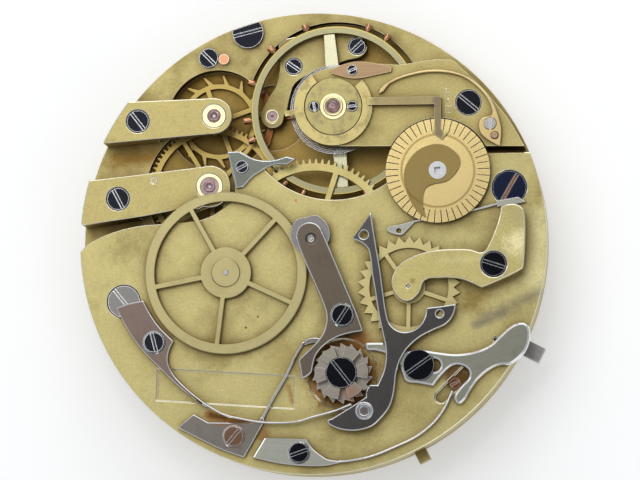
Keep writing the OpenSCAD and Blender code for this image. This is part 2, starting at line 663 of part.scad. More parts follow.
module stem_space() {
    stem_frame() {
        translate([0, 0, stem_start - 0.1]) cylinder(r = 0.33, h = 2);
        translate([0, 0, slide_from - 0.7])
            cylinder(r = slide_r + 0.06, h = pinion_from - slide_from + 0.7);
        translate([0, 0, pinion_from - 0.1])
            cylinder(r = winding_pinion_r + 0.15, h = pinion_to - pinion_from + 0.2);
        translate([0, 0, pinion_to]) cylinder(r = stem_r + bearing_gap, h = stem_end - pinion_to);
    }
}

module setting_space() {
    z0 = stem_z - 0.35;
    disc(setting_p, 1, z0, plate_t + eps);
    bar(setting_p, polar(groove_at, stem_a), 2.2, z0, plate_t + eps);
}

// Main plate with its wells, bearings and dial side recesses
module wells() {
    disc(balance_p, well_r, well_floor, plate_t + eps);
    disc(escape_p, escape_r + 0.35, escape_floor, plate_t + eps);
    disc(pallet_p, pallet_well_r, escape_floor, plate_t + eps);
    rounded_bar(pallet_p, balance_p, 2.4, escape_floor, plate_t + eps);
    disc(fourth_p, fourth_pocket_r, fourth_floor, plate_t + eps);
    disc(barrel_p, barrel_pocket_r, barrel_floor, plate_t + eps);
    disc(centre_p, centre_pinion_pocket_r, barrel_floor, plate_t + eps);
}

module dial_recesses() {
    disc(barrel_p, tip(ratchet_teeth, winding_module) + wheel_room, -eps, winding_depth);
    disc(transfer_p, tip(transfer_teeth, winding_module) + wheel_room, -eps, winding_depth);
    disc(crown_p, tip(crown_teeth, winding_module) + wheel_room, -eps, winding_depth);
    disc(click_p, 1.5, -eps, winding_depth);
    rounded_bar(click_p + [-0.6, 0], click_spring_p, 1.6, -eps, winding_depth);
    rounded_bar(click_p, click_tip, 2.2, -eps, winding_depth);
    disc(centre_p, tip(hour_teeth, hour_module) + wheel_room, -eps, motion_depth);
    disc(minute_p, tip(minute_teeth, minute_module) + wheel_room, -eps, motion_depth);
}

lower_jewels = [
    [third_p, plate_t - 0.35, plate_t], [escape_p, escape_floor - 0.33, escape_floor],
    [pallet_p, escape_floor - 0.33, escape_floor], [balance_p, escape_floor - 0.33, escape_floor]
];
lower_jewel_r = 0.5;
dial_foot_r = 0.5;
dial_foot_depth = 1.2;
dial_feet = [for (a = [100, 215, 338]) polar(plate_r - 1.9, a)];

module main_plate() {
    color(gilt) {
        difference() {
            union() {
                disc(centre_p, plate_r, 0, plate_t);
                rotate(-63.3) translate([plate_r - 0.6, -0.55, 0.6]) cube([1.7, 1.1, plate_t - 0.6]);
            }
            wells();
            dial_recesses();
            stem_space();
            setting_space();
            disc(centre_p, centre_tube_r + bearing_gap, 0, plate_t);
            disc(barrel_p, barrel_bearing_r + bearing_gap, 0, plate_t);
            disc(fourth_p, seconds_pivot_r + pivot_gap, -eps, plate_t);
            for (j = lower_jewels) {
                disc(j[0], lower_jewel_r, j[1], plate_t + eps);
                disc(j[0], jewel_hole_r, 0.05, plate_t);
            }
            for (s = plate_screws) screw_hole(s);
            disc(dog_screw[0], dog_screw[2], dog_screw[5], plate_t + eps);
            disc(plate_pin_p, plate_pin_r, plate_t - 0.8, plate_t + eps);
            for (p = dial_feet) disc(p, dial_foot_r, -eps, dial_foot_depth);
            disc(click_spring_p, 0.45, -eps, winding_depth + 0.2);
            disc(click_p, click_post_r, -eps, winding_depth + 0.3);
        }
        disc(minute_p, minute_post_r, 0.05, motion_depth + eps);
        tube(transfer_p, post_r, small_shank_r, winding_z, winding_depth + eps);
        tube(crown_p, post_r, small_shank_r, winding_z, winding_depth + eps);
    }
}

// Bridge over the barrel and the centre and third wheels
module three_quarter_bridge() {
    color(gilt) difference() {
        union() {
            intersection() {
                disc(centre_p, plate_r, plate_t, top);
                slab(curved(bridge_edge, 3), plate_t, top);
            }
            disc(coupling_p, 0.9, top - eps, coupling_z);
        }
        disc(balance_p, bridge_arc_r, plate_t - eps, top + eps);
        disc(balance_p, undercut_r, plate_t - eps, top - 0.9);
        disc(fourth_p, fourth_pocket_r, plate_t - eps, top - 0.9);
        disc(barrel_p, barrel_pocket_r + 0.05, plate_t - eps, plate_t + 1.05);
        disc(centre_p, centre_pinion_pocket_r, plate_t - eps, plate_t + 1.1);
        disc(centre_p, centre_pocket_r, plate_t + 1.05, plate_t + 1.6);
        disc(third_p, third_pocket_r, plate_t + 1.6, plate_t + 2.1);
        disc(third_p, third_pinion_pocket_r, plate_t - eps, plate_t + 1.7);
        stem_space();
        disc(barrel_p, barrel_arbor_r + bearing_gap, plate_t, top - 1.1);
        disc(centre_p, centre_tube_r + bearing_gap, plate_t, top + eps);
        disc(third_p, lower_jewel_r, top - 0.4, top + eps);
        disc(third_p, arbor_r + 0.05, plate_t, top);
        disc(counter_p, counter_arbor_r + pivot_gap, top - 1, top + eps);
        slab(panel, top - panel_depth, top + eps);
        disc(column_p, column_ratchet_r + 0.4, top - 0.15, top + eps);
        disc(snail_p, snail_foot_r + bearing_gap, top - 1.6, top + eps);
        rounded_bar([14.35, -11.93], [11.77, -14.45], 1.2, top - 0.6, top + eps);
        disc([16.74, -9.23], 0.25, top - 0.5, top + eps);
        disc(hammer_p, hammer_pin_r, top - 1.2, top + eps);
        for (s = concat(case_screws, foot_screws, [counter_cock_screw, slot_screw])) screw_hole(s);
        for (s = post_screws) disc(s[0], s[2], s[5], coupling_z + eps);
    }
}

// A cock of the train: outline, bearing place, radius round the bearing and edge of the foot
module train_cock(outline, p, r, foot_x) {
    intersection() {
        disc(centre_p, plate_r, plate_t, top);
        union() {
            slab(outline, cock_under, top);
            disc(p, r, cock_under, top);
            intersection() {
                slab(outline, plate_t, top);
                slab([[-24, 24], [foot_x, 24], [foot_x, 0], [-24, 0]], plate_t, top);
            }
        }
    }
}

module escape_cock() {
    color(gilt) difference() {
        train_cock(escape_cock_edge, escape_p, 1.66, 7.1 - plate_r);
        disc(escape_p, upper_jewels[0][2], top - jewel_t - 0.05, top + eps);
        disc(escape_p, 0.4, cock_under - eps, top);
        screw_hole(cock_screws[0]);
    }
}

module fourth_cock() {
    color(gilt) difference() {
        train_cock(curved(fourth_cock_edge), fourth_p, 1.95, 5.5 - plate_r);
        disc(fourth_p, upper_jewels[1][2], top - jewel_t - 0.05, top + eps);
        disc(fourth_p, 0.4, cock_under - eps, top);
        disc(dowel_p, dowel_r, cock_under - eps, top + eps);
        screw_hole(cock_screws[1]);
    }
}

module balance_cock() {
    color(gilt) difference() {
        union() {
            difference() {
                slab(curved(balance_cock_edge), plate_t, balance_cock_top);
                disc(balance_p, undercut_r + 0.05, plate_t - eps, balance_cock_under);
                slab([[0, 6], [10.3, 6], [10.3, 20], [0, 20]], plate_t - eps, balance_cock_under);
            }
            disc(balance_p, 3.6, balance_cock_under, balance_cock_top);
        }
        disc(centre_p, 30, 0, plate_t);
        disc(balance_p, 0.45, balance_cock_under - eps, balance_cock_top + eps);
        disc(balance_p, cap_setting_r, balance_cock_top - 0.3, balance_cock_top + eps);
        disc(snail_p, snail_disc_r + 0.15, plate_t - eps, balance_cock_top + 1);
        screw_hole(balance_cock_screw);
        for (s = concat(cap_screws, [stud_screw, index_spring_screw]))
            disc(s[0], s[2], s[5], balance_cock_top + eps);
        disc(index_pin_p, index_pin_r, balance_cock_top - 0.6, balance_cock_top + eps);
        for (k = [0 : 7])
            translate([12.35 - 0.02 * k, 11.6 + 0.32 * k, balance_cock_top - 0.06])
                cube([0.5, 0.08, 0.1]);
    }
}

module pallet_cock() {
    under = escape_wheel_z + wheel_t + 0.25;
    color(gilt) difference() {
        intersection() {
            union() {
                slab(curved(pallet_cock_edge), well_floor, plate_t);
                disc(pallet_p, 1.1, under, plate_t);
            }
            disc(balance_p, well_r - 0.04, 0, plate_t);
        }
        disc(pallet_p, pallet_well_r + 0.05, 0, under);
        disc(pallet_p, upper_jewels[2][2], plate_t - jewel_t - 0.05, plate_t + eps);
        disc(pallet_p, 0.3, 0, plate_t);
        for (s = pallet_screws) screw_hole(s);
    }
}

module minute_counter_cock() {
    color(brass) difference() {
        union() {
            slab(curved(counter_cock_edge), counter_cock_z, counter_cock_z + counter_cock_t);
            intersection() {
                slab(curved(counter_cock_edge), top, counter_cock_z + eps);
                slab([[15, -6], [22, -6], [22, 1.9], [15, 1.9]], top, counter_cock_z + eps);
            }
        }
        disc(counter_p, pivot_r + pivot_gap, counter_cock_z - eps, counter_cock_z + 1);
        screw_hole(counter_cock_screw);
    }
}

module guard_finger() {
    color(dark_steel) difference() {
        slab(curved(guard_edge, 3), top, top + 0.35);
        disc(guard_screw[0], guard_screw[2], top - eps, top + 1);
    }
}

// Barrel, turned by the mainspring
module barrel_drum() {
    base = barrel_z + 0.25;
    color(brass) difference() {
        union() {
            disc(barrel_p, drum_r, barrel_z, barrel_z + drum_h);
            gear(
                barrel_p, barrel_teeth, barrel_module, barrel_z, barrel_z + barrel_teeth_t, 0.4,
                180 / barrel_teeth - barrel_dir
            );
        }
        disc(barrel_p, drum_r - drum_wall, base, barrel_z + drum_h + eps);
        disc(barrel_p, barrel_bearing_r + bearing_gap, barrel_z - eps, base + eps);
    }
}

module barrel_cover() {
    color(brass) tube(
        barrel_p, drum_r - drum_wall, barrel_arbor_r + bearing_gap, barrel_z + drum_h - 0.2,
        barrel_z + drum_h
    );
}

mainspring_path = spiral(barrel_core_r + 0.2, drum_r - drum_wall - 0.15, mainspring_turns);
echo(mainspring_least_gap = least_gap(mainspring_path, mainspring_t));

module mainspring() {
    color(steel)
        translate([barrel_p[0], barrel_p[1], barrel_z + 0.3])
            linear_extrude(drum_h - 0.6) polygon(ribbon(mainspring_path, mainspring_t));
}

module barrel_arbor() {
    color(steel) difference() {
        union() {
            disc(barrel_p, barrel_arbor_r, winding_z, barrel_z + drum_h + 0.6);
            disc(barrel_p, barrel_bearing_r, winding_depth + 0.02, barrel_z + 0.3);
            disc(barrel_p, barrel_core_r, barrel_z + 0.28, barrel_z + drum_h - 0.23);
        }
        disc(barrel_p, small_shank_r, winding_z - eps, winding_z + 0.8);
    }
}

// Winding wheels on the dial side
module winding_wheel(p, n, bore, phase) {
    difference() {
        gear(p, n, winding_module, winding_z, winding_z + winding_t, 0.38, phase, 0.9, 1.15);
        disc(p, bore, winding_z - eps, winding_z + winding_t + eps);
    }
}

module ratchet_wheel() {
    color(steel) {
        winding_wheel(barrel_p, ratchet_teeth, barrel_arbor_r, transfer_dir);
        screw_under(barrel_p, 1.3);
    }
}

module screw_under(p, r) {
    difference() {
        union() {
            disc(p, r, 0.04, winding_z - 0.01);
            disc(p, small_shank_r, 0.04, winding_z + 0.3);
        }
        translate([p[0] - r - eps, p[1] - slot_w / 2, 0.03]) cube([2 * r + 2 * eps, slot_w, 0.11]);
    }
}

// Each wheel is turned so that a gap of it meets a tooth of the one before
transfer_phase = transfer_dir + 180 + 180 / transfer_teeth;
crown_phase = crown_dir + 180 + 180 / crown_teeth
    + (crown_dir - transfer_phase) * transfer_teeth / crown_teeth;

module transfer_wheel() {
    color(steel) winding_wheel(transfer_p, transfer_teeth, post_r + bearing_gap, transfer_phase);
}

module crown_wheel() {
    color(steel) winding_wheel(crown_p, crown_teeth, post_r + bearing_gap, crown_phase);
}

module click() {
    color(steel) difference() {
        union() {
            disc(click_p, 0.75, winding_z, winding_z + winding_t);
            slab(
                [click_p + [-0.6, 0.3], click_tip + [-0.15, -0.45], click_tip, click_p + [0.7, 0.1]],
                winding_z, winding_z + winding_t
            );
        }
        disc(click_p, click_post_r + bearing_gap, winding_z - eps, winding_z + winding_t + eps);
    }
}

module click_spring() {
    line = [click_spring_p + [0, 0.2], click_spring_p + [-0.3, 1.5], click_p + [-1.0, 0.1]];
    color(steel) {
        disc(click_spring_p, 0.45, winding_z, winding_depth + 0.2);
        slab(ribbon(open_curve(line), 0.15), winding_z, winding_z + winding_t);
        difference() {
            union() {
                disc(click_p, click_post_r, winding_z - 0.02, winding_depth + 0.3);
                disc(click_p, 0.6, 0.05, winding_z - 0.02);
            }
            translate([click_p[0] - 1, click_p[1] - 0.1, 0]) cube([2, 0.2, 0.15]);
        }
    }
}

// Stem and keyless work
module winding_stem() {
    color(steel) stem_frame() {
        translate([0, 0, stem_start]) cylinder(r = 0.3, h = 1.2);
        translate([-square_w / 2, -square_w / 2, stem_start + 1.1])
            cube([square_w, square_w, pinion_from - stem_start - 1.1]);
        translate([0, 0, pinion_from]) cylinder(r = pinion_bore_r, h = pinion_to - pinion_from);
        translate([0, 0, pinion_to]) cylinder(r = stem_r, h = stem_round_end + 0.1 - pinion_to);
        translate([-stem_square / 2, -stem_square / 2, stem_round_end])
            cube([stem_square, stem_square, stem_end - stem_round_end]);
    }
}

module pinion_teeth(n, r, t) {
    linear_extrude(t) polygon(teeth(n, r - 0.25, r, 0.6, 0.25));
}

module winding_pinion() {
    color(steel) stem_frame() translate([0, 0, pinion_from + 0.02]) difference() {
        pinion_teeth(11, winding_pinion_r, pinion_to - pinion_from - 0.04);
        translate([0, 0, -eps]) cylinder(r = pinion_bore_r, h = 3);
    }
}

module sliding_pinion() {
    color(steel) stem_frame() difference() {
        union() {
            translate([0, 0, slide_from]) pinion_teeth(12, slide_r, groove_at - groove_w / 2 - slide_from);
            translate([0, 0, slide_from]) cylinder(r = groove_r, h = slide_to - slide_from);
            translate([0, 0, groove_at + groove_w / 2])
                cylinder(r = slide_r, h = slide_to - groove_at - groove_w / 2);
        }
        translate([-square_w / 2 - 0.02, -square_w / 2 - 0.02, slide_from - eps])
            cube([square_w + 0.04, square_w + 0.04, 4]);
        for (k = [0 : 5])
            rotate(60 * k) translate([0.4, -0.12, slide_to - 0.15]) cube([1, 0.24, 0.2]);
    }
}

module setting_lever() {
    z0 = stem_z - 0.2;
    color(steel) {
        disc(setting_p, 0.8, z0, z0 + 0.4);
        bar(setting_p, polar(groove_at, stem_a) + polar(groove_r + 0.06, stem_a + 90), 0.35, z0, z0 + 0.4);
    }
}

// Centre wheel and motion work
module centre_arbor() {
    color(steel) difference() {
        union() {
            disc(centre_p, hand_tube_r, hand_end_z, motion_depth + eps);
            disc(centre_p, centre_tube_r, motion_depth, top - 0.05);
            gear(
                centre_p, train_leaves, barrel_module, centre_pinion_z, plate_t + 0.95, 0.36, barrel_dir
            );
        }
        disc(centre_p, centre_bore_r, -2, top);
    }
}

module centre_wheel() {
    z1 = centre_wheel_z + wheel_t;
    rim_in = root(centre_teeth, centre_module) - 0.68;
    color(brass) spoked(centre_p, rim_in, 1.6, 5, 0.5, centre_wheel_z, z1, 72, centre_tube_r)
        gear(centre_p, centre_teeth, centre_module, centre_wheel_z, z1, 0.4, third_dir);
}

module cannon_pinion() {
    color(steel) difference() {
        union() {
            disc(centre_p, hand_seat_r, minute_seat_z - 0.45, minute_seat_z + eps);
            disc(centre_p, cannon_r, minute_seat_z, cannon_z + eps);
            gear(
                centre_p, cannon_teeth, minute_module, cannon_z, cannon_z + cannon_t, 0.36,
                minute_dir + 180 / cannon_teeth, 0.9, 1
            );
        }
        disc(centre_p, hand_tube_r, -2, 1);
    }
}

module minute_wheel() {
    color(brass) difference() {
        union() {
            gear(
                minute_p, minute_teeth, minute_module, minute_z, minute_z + minute_t, 0.4, minute_dir,
                0.9
            );
            gear(
                minute_p, minute_leaves, hour_module, hour_z, minute_z + eps, 0.36,
                minute_dir + 180 + 180 / minute_leaves, 0.9
            );
        }
        disc(minute_p, minute_post_r + bearing_gap, 0, 1);
    }
}

module hour_wheel() {
    color(brass) difference() {
        union() {
            gear(centre_p, hour_teeth, hour_module, hour_z, hour_z + hour_t, 0.4, minute_dir, 0.9);
            disc(centre_p, hour_pipe_r, hour_end_z, hour_z + eps);
        }
        disc(centre_p, cannon_r + bearing_gap, hour_end_z - eps, 1);
    }
}

// Third wheel, whose arbor carries the driving wheel of the chronograph
module third_arbor() {
    color(steel) {
        disc(third_p, pivot_r, plate_t - 0.3, plate_t + 0.1);
        disc(third_p, arbor_r, plate_t + 0.05, top - 0.45);
        disc(third_p, third_post_r, top - 0.5, driving_z + 0.45);
        gear(
            third_p, train_leaves, centre_module, third_pinion_z, third_pinion_z + pinion_t, 0.36,
            third_dir + 180 / train_leaves
        );
    }
}

module third_wheel() {
    z1 = third_wheel_z + wheel_t;
    rim_in = root(third_teeth, third_module) - 0.6;
    color(brass) spoked(third_p, rim_in, 1.3, 5, 0.45, third_wheel_z, z1, 20, arbor_r)
        gear(third_p, third_teeth, third_module, third_wheel_z, z1, 0.4, fourth_dir);
}

module driving_wheel() {
    z1 = driving_z + 0.25;
    color(brass) {
        spoked(third_p, driving_tip_r - 0.95, 2.35, 5, 0.45, driving_z, z1, 47, third_post_r)
            slab_teeth(
                third_p, driving_teeth, driving_tip_r - 0.12, driving_tip_r, driving_z, z1,
                third_dir - 180
            );
        tube(third_p, 1.3, third_post_r, z1 - eps, z1 + 0.12);
    }
}

module slab_teeth(p, n, r_root, r_tip, z0, z1, phase, lean = 0) {
    translate([p[0], p[1], z0])
        linear_extrude(z1 - z0) polygon(pointed_teeth(n, r_root, r_tip, phase, lean));
}

// Fourth wheel, whose long pivot carries the small seconds hand
module fourth_arbor() {
    color(steel) {
        disc(fourth_p, seconds_pivot_r, -1.6, fourth_floor + 0.1);
        disc(fourth_p, arbor_r, fourth_floor + 0.05, top - 0.45);
        disc(fourth_p, pivot_r, top - 0.5, top - 0.1);
        gear(
            fourth_p, train_leaves, third_module, fourth_pinion_z, fourth_pinion_z + pinion_t, 0.36,
            fourth_dir + 180 + 180 / train_leaves
        );
    }
}

module fourth_wheel() {
    z1 = fourth_wheel_z + wheel_t;
    rim_in = root(fourth_teeth, fourth_module) - 0.48;
    color(brass) spoked(fourth_p, rim_in, 1.1, 5, 0.4, fourth_wheel_z, z1, 50, arbor_r)
        gear(fourth_p, fourth_teeth, fourth_module, fourth_wheel_z, z1, 0.4, escape_dir);
}

// Escape wheel
module escape_arbor() {
    color(steel) {
        disc(escape_p, pivot_r, escape_floor - 0.3, escape_floor + 0.1);
        disc(escape_p, escape_arbor_r, escape_floor + 0.05, top - 0.45);
        disc(escape_p, pivot_r, top - 0.5, top - 0.1);
        gear(
            escape_p, escape_leaves, fourth_module, escape_pinion_z, escape_pinion_z + 0.6, 0.34,
            escape_dir + 180 + 180 / escape_leaves, 0.8, 1.1
        );
    }
}

module escape_wheel() {
    z1 = escape_wheel_z + wheel_t;
    tooth_root = escape_r - 0.8;
    color(brass) spoked(escape_p, tooth_root - 0.45, 0.9, 4, 0.4, escape_wheel_z, z1, 20, escape_arbor_r)
        translate([escape_p[0], escape_p[1], escape_wheel_z])
            linear_extrude(wheel_t) polygon([
                for (k = [0 : escape_teeth - 1])
                    for (c = [[tooth_root, 0], [escape_r, 9], [escape_r, 11], [tooth_root, 7]])
                        polar(c[0], 3 + k * 360 / escape_teeth + c[1])
            ]);
}

// Pallets: the places of the stones, their width and the well that they swing in
stone_spots = [for (s = [-1, 1]) escape_p + polar(escape_r + 0.33, pallet_dir + s * 31)];
stone_w = 0.3;
stone_back = 0.5;
pallet_well_r = norm(stone_spots[0] + polar(stone_back, pallet_dir - 31) - pallet_p) + 0.32;

module pallet_fork() {
    z0 = escape_wheel_z;
    z1 = z0 + wheel_t;
    color(steel) {
        difference() {
            union() {
                disc(pallet_p, 0.6, z0, z1);
                for (p = stone_spots) bar(pallet_p, p + unit(p - escape_p) * 0.3, 0.55, z0, z1);
                bar(pallet_p, pallet_p + polar(fork_reach, balance_dir), 0.4, z0, z1);
                disc(pallet_p + polar(fork_reach + 0.2, balance_dir), 0.55, z0, z1);
            }
            bar(
                pallet_p + polar(fork_reach + 0.1, balance_dir),
                pallet_p + polar(fork_reach + 1.3, balance_dir), 0.4, z0 - eps, z1 + eps
            );
            for (p = stone_spots) bar(p, p + unit(p - escape_p) * 0.8, stone_w, z0 - eps, z1 + eps);
            disc(escape_p, escape_r + 0.2, z0 - eps, z1 + eps);
        }
        disc(pallet_p, pivot_r, escape_floor - 0.3, z0 + eps);
        disc(pallet_p, fork_arbor_r, z1 - eps, plate_t - jewel_t - 0.08);
        disc(pallet_p, pivot_r, plate_t - jewel_t - 0.1, plate_t - 0.1);
    }
}

module pallet_stones() {
    color(ruby)
        for (p = stone_spots)
            bar(
                escape_p + unit(p - escape_p) * (escape_r + 0.03),
                p + unit(p - escape_p) * stone_back, stone_w, escape_wheel_z, escape_wheel_z + wheel_t
            );
}

// Balance
balance_screw_angles = [54.9, 68.5, 109.9, 136.1, 161.3, 186, 199];

module balance_wheel() {
    arm_r = balance_r - 0.45;
    color(brass) {
        tube(
            balance_p, balance_r, balance_r - balance_rim_w, balance_z, balance_z + balance_rim_h
        );
        tube(balance_p, 1.1, staff_r, balance_z + 0.05, balance_z + 0.35);
        for (a = [95, 275])
            slab(
                [for (c = [[0.9, -0.75], [arm_r, -0.5], [arm_r, 0.5], [0.9, 0.75]])
                    balance_p + polar(c[0], a) + polar(c[1], a + 90)],
                balance_z + 0.05, balance_z + 0.35
            );
    }
}

module balance_screws() {
    color(copper)
        for (a = balance_screw_angles, b = [0, 180])
            translate([balance_p[0], balance_p[1], balance_z + 0.32])
                rotate([0, 90, a + b]) difference() {
                    union() {
                        translate([0, 0, balance_r]) cylinder(r = 0.16, h = 0.2, $fn = 24);
                        translate([0, 0, balance_r + 0.15])
                            cylinder(r = balance_screw_r, h = balance_screw_out - 0.15, $fn = 24);
                    }
                    translate([-0.4, -0.06, balance_r + balance_screw_out - 0.1])
                        cube([0.8, 0.12, 0.2]);
                }
}

module balance_staff() {
    color(steel) {
        disc(balance_p, pivot_r, escape_floor - 0.3, escape_floor + 0.35);
        disc(balance_p, staff_r, escape_floor + 0.3, balance_cock_under + 0.2);
        disc(balance_p, pivot_r, balance_cock_under + 0.1, balance_cock_top - 0.02);
        disc(balance_p, 1.1, roller_z, roller_z + 0.25);
        disc(balance_p, 0.75, hairspring_z - 0.05, hairspring_z + 0.25);
        disc(
            balance_p + polar(0.85, balance_dir + 180), 0.15, escape_wheel_z + wheel_t + 0.05,
            roller_z + eps
        );
    }
}

hairspring_path = spiral(0.95, hairspring_r, hairspring_turns, 60);
echo(hairspring_least_gap = least_gap(hairspring_path, hairspring_t));

module hairspring() {
    color(blued)
        translate([balance_p[0], balance_p[1], hairspring_z])
            linear_extrude(hairspring_h) polygon(ribbon(hairspring_path, hairspring_t));
}

module hairspring_stud() {
    hang = balance_p + polar(hairspring_r + 0.35, 60);
    color(copper) {
        difference() {
            slab(curved(stud_edge), balance_cock_top, balance_cock_top + 0.3);
            disc(stud_screw[0], stud_screw[2], balance_cock_top - eps, balance_cock_top + 1);
        }
    }
    color(steel) disc(hang, 0.3, hairspring_z, balance_cock_under);
}

module regulator_index() {
    ring_out = index_ring_r + index_ring_w;
    ring_top = index_z + 0.38;
    color(brass) {
        difference() {
            union() {
                tube(balance_p, ring_out, index_ring_r, index_z, ring_top);
                slab(
                    [balance_p + [3.2, 0.05], balance_p + [9.9, 0.05], balance_p + [9.9, 0.75],
                        balance_p + [3.2, 0.75]],
                    index_z + 0.1, index_top
                );
                bar(balance_p + polar(3.3, 188), balance_p + polar(4.5, 188), 0.5, index_z, ring_top);
            }
            slab(
                [balance_p, balance_p + polar(6, 42), balance_p + polar(6, 84),
                    balance_p + polar(6, 124)],
                index_z - eps, index_top + eps
            );
        }
        slab(
            [[11.3, 12.5], [11.3, 9.9], [11.1, 9.75], [11.96, 9.02], [12.65, 9.75], [11.9, 9.95],
                [11.9, 12.5]],
            index_arm_z, index_top
        );
    }
    color(steel)
        disc(balance_p + polar(hairspring_r + 0.2, 188), 0.09, hairspring_z, index_z + eps, $fn = 24);
}

module cap_jewel_plate() {
    color(steel) difference() {
        disc(balance_p, cap_plate_r, cap_plate_z, cap_plate_z + cap_plate_t);
        disc(balance_p, cap_setting_r, cap_plate_z - eps, cap_plate_z + 1);
        for (s = cap_screws) screw_hole(s);
    }
}

module index_spring() {
    z0 = balance_cock_top + foot_gap;
    color(steel) difference() {
        slab(curved(index_spring_edge, 3), z0 + 0.18, z0 + 0.45);
        disc(index_spring_screw[0], index_spring_screw[2] + bearing_gap, z0, z0 + 1);
        disc(index_spring_screw[0], index_spring_screw[1] + 0.04, z0 + 0.28, z0 + 1);
        disc(index_pin_p, index_pin_r + head_gap, z0, z0 + 1);
    }
}

// Regulator snail
module snail_disc() {
    z1 = snail_disc_z + snail_disc_t;
    color(brass) difference() {
        union() {
            disc(snail_p, snail_disc_r, snail_disc_z, z1);
            translate([snail_p[0], snail_p[1], z1 - eps])
                linear_extrude(snail_cam_t + eps) polygon(snail_edge);
        }
        for (k = [0 : snail_slots - 1])
            translate([snail_p[0], snail_p[1], z1 - 0.12])
                rotate(k * 360 / snail_slots + 2)
                    translate([snail_disc_r - 1.15, -0.04, 0]) cube([1.25, 0.08, 0.2]);
        disc(snail_p, snail_post_r, snail_disc_z - eps, z1 + 1);
    }
}

module snail_post() {
    z1 = snail_disc_z + snail_disc_t + snail_cam_t + 0.05;
    color(steel) difference() {
        union() {
            disc(snail_p, snail_post_r, top + 0.03, z1);
            disc(snail_p, snail_foot_r, top - 1.55, top + 0.04);
        }
        translate([snail_p[0], snail_p[1], z1 - 0.5]) rotate(8) translate([-0.3, -0.3, 0])
            cube([0.6, 0.6, 1]);
    }
}

// Chronograph runner at the centre
finger_hub_r = 0.7;
finger_dir = -67;

module runner_arbor() {
    color(steel) {
        disc(centre_p, runner_r, -2.6, heart_z + heart_t + 0.05);
        disc(centre_p, runner_pivot_r, heart_z + heart_t, coupling_z + coupling_t - 0.1);
        slab_teeth(centre_p, 30, 0.93, 1.0, driving_z, driving_z + 0.25, third_dir - 180 + 6);
        disc(centre_p, finger_hub_r, finger_z, driving_z + eps);
        slab(
            [polar(finger_hub_r, finger_dir + 40), polar(finger_r, finger_dir + 1),
                polar(finger_r, finger_dir - 1), polar(finger_hub_r, finger_dir - 40)],
            finger_z, finger_z + 0.2
        );
    }
}

module runner_heart() {
    color(steel) difference() {
        translate([0, 0, heart_z]) rotate(-77) linear_extrude(heart_t) polygon(heart(2.45, 1.05));
        disc(centre_p, runner_r, heart_z - eps, heart_z + 1);
    }
}

module coupling_lever() {
    eye = [-0.13, 0.28];
    z1 = coupling_z + coupling_t;
    color(purple_steel) difference() {
        union() {
            slab(curved(coupling_edge), coupling_z, z1);
            disc(eye, 1.24, coupling_z, z1);
        }
        disc(centre_p, runner_pivot_r + 0.1, coupling_z - eps, z1 + eps);
        translate([0, 0, z1 - 0.12]) cylinder(r1 = 0.25, r2 = 0.6, h = 0.12 + eps);
        disc(coupling_p, coupling_screw[2] + bearing_gap, coupling_z - eps, z1 + eps);
        disc(coupling_p, coupling_screw[1] + 0.05, coupling_screw[3] - 0.02, z1 + eps);
    }
}

module hammer() {
    z1 = hammer_z + hammer_t;
    color(dark_steel) difference() {
        union() {
            slab(curved(hammer_edge, 3), hammer_z, z1);
            disc(hammer_p, 0.69, hammer_z, z1 + 0.08);
        }
        disc(hammer_p, hammer_pin_r + bearing_gap, hammer_z - eps, z1 + 1);
        disc([4.82, 0.35], 0.37, hammer_z - eps, z1 + eps);
        disc([11.74, -6.94], 0.31, hammer_z - eps, z1 + eps);
    }
}

module hammer_spring() {
    z0 = top + foot_gap;
    color(purple_steel) difference() {
        union() {
            slab(curved(hammer_spring_edge), z0, z0 + spring_foot_t);
            slab(
                ribbon(open_curve(hammer_spring_line), blade_w), z0 + jumper_t + 0.06,
                hammer_z + hammer_t - 0.05
            );
        }
        screw_hole(hammer_spring_screw);
    }
}

module column_wheel() {
    color(dark_steel) difference() {
        union() {
            slab_teeth(
                column_p, column_teeth, column_ratchet_r - 0.4, column_ratchet_r, top + 0.1, top + 0.45,
                5, 0.4
            );
            for (k = [0 : columns - 1])
                slab(
                    [for (c = [[1.2, -21], [column_r, -18], [column_r, -9], [column_r, 0],
                        [column_r, 9], [column_r, 18], [1.2, 21]])
                        column_p + polar(c[0], 5 + k * 360 / columns + c[1])],
                    top + 0.4, top + 1.5
                );
        }
        disc(column_p, column_screw[2] + bearing_gap, top, top + 2);
        disc(column_p, column_screw[1] + 0.06, top + 1.15, top + 2);
    }
}

module column_jumper() {
    z0 = top + foot_gap;
    color(dark_steel) difference() {
        union() {
            slab(curved(column_jumper_edge), z0, z0 + jumper_t);
            slab(ribbon(open_curve(column_jumper_line), 0.25), z0 + 0.1, z0 + jumper_t);
            slab(curved(column_jumper_head), z0 + 0.1, z0 + jumper_t);
        }
        screw_hole(column_jumper_screw);
    }
}

module operating_lever() {
    color(steel) difference() {
        slab(curved(operating_lever_edge), lever_z, lever_z + lever_t);
        rounded_bar(
            operating_p, operating_p + [1.4, 0], 2 * operating_screw[2] + 0.1, lever_z - eps,
            lever_z + lever_t + eps
        );
    }
}

module operating_spring() {
    z0 = top + foot_gap;
    color(steel) difference() {
        union() {
            slab(curved(operating_spring_edge), z0, z0 + spring_foot_t);
            slab(ribbon(open_curve(operating_spring_line), blade_w), z0 + 0.1, z0 + spring_foot_t);
        }
        disc(operating_spring_screw[0], operating_spring_screw[2] + bearing_gap, z0 - 1, z0 + 2);
        screw_hole(operating_spring_screw);
    }
}

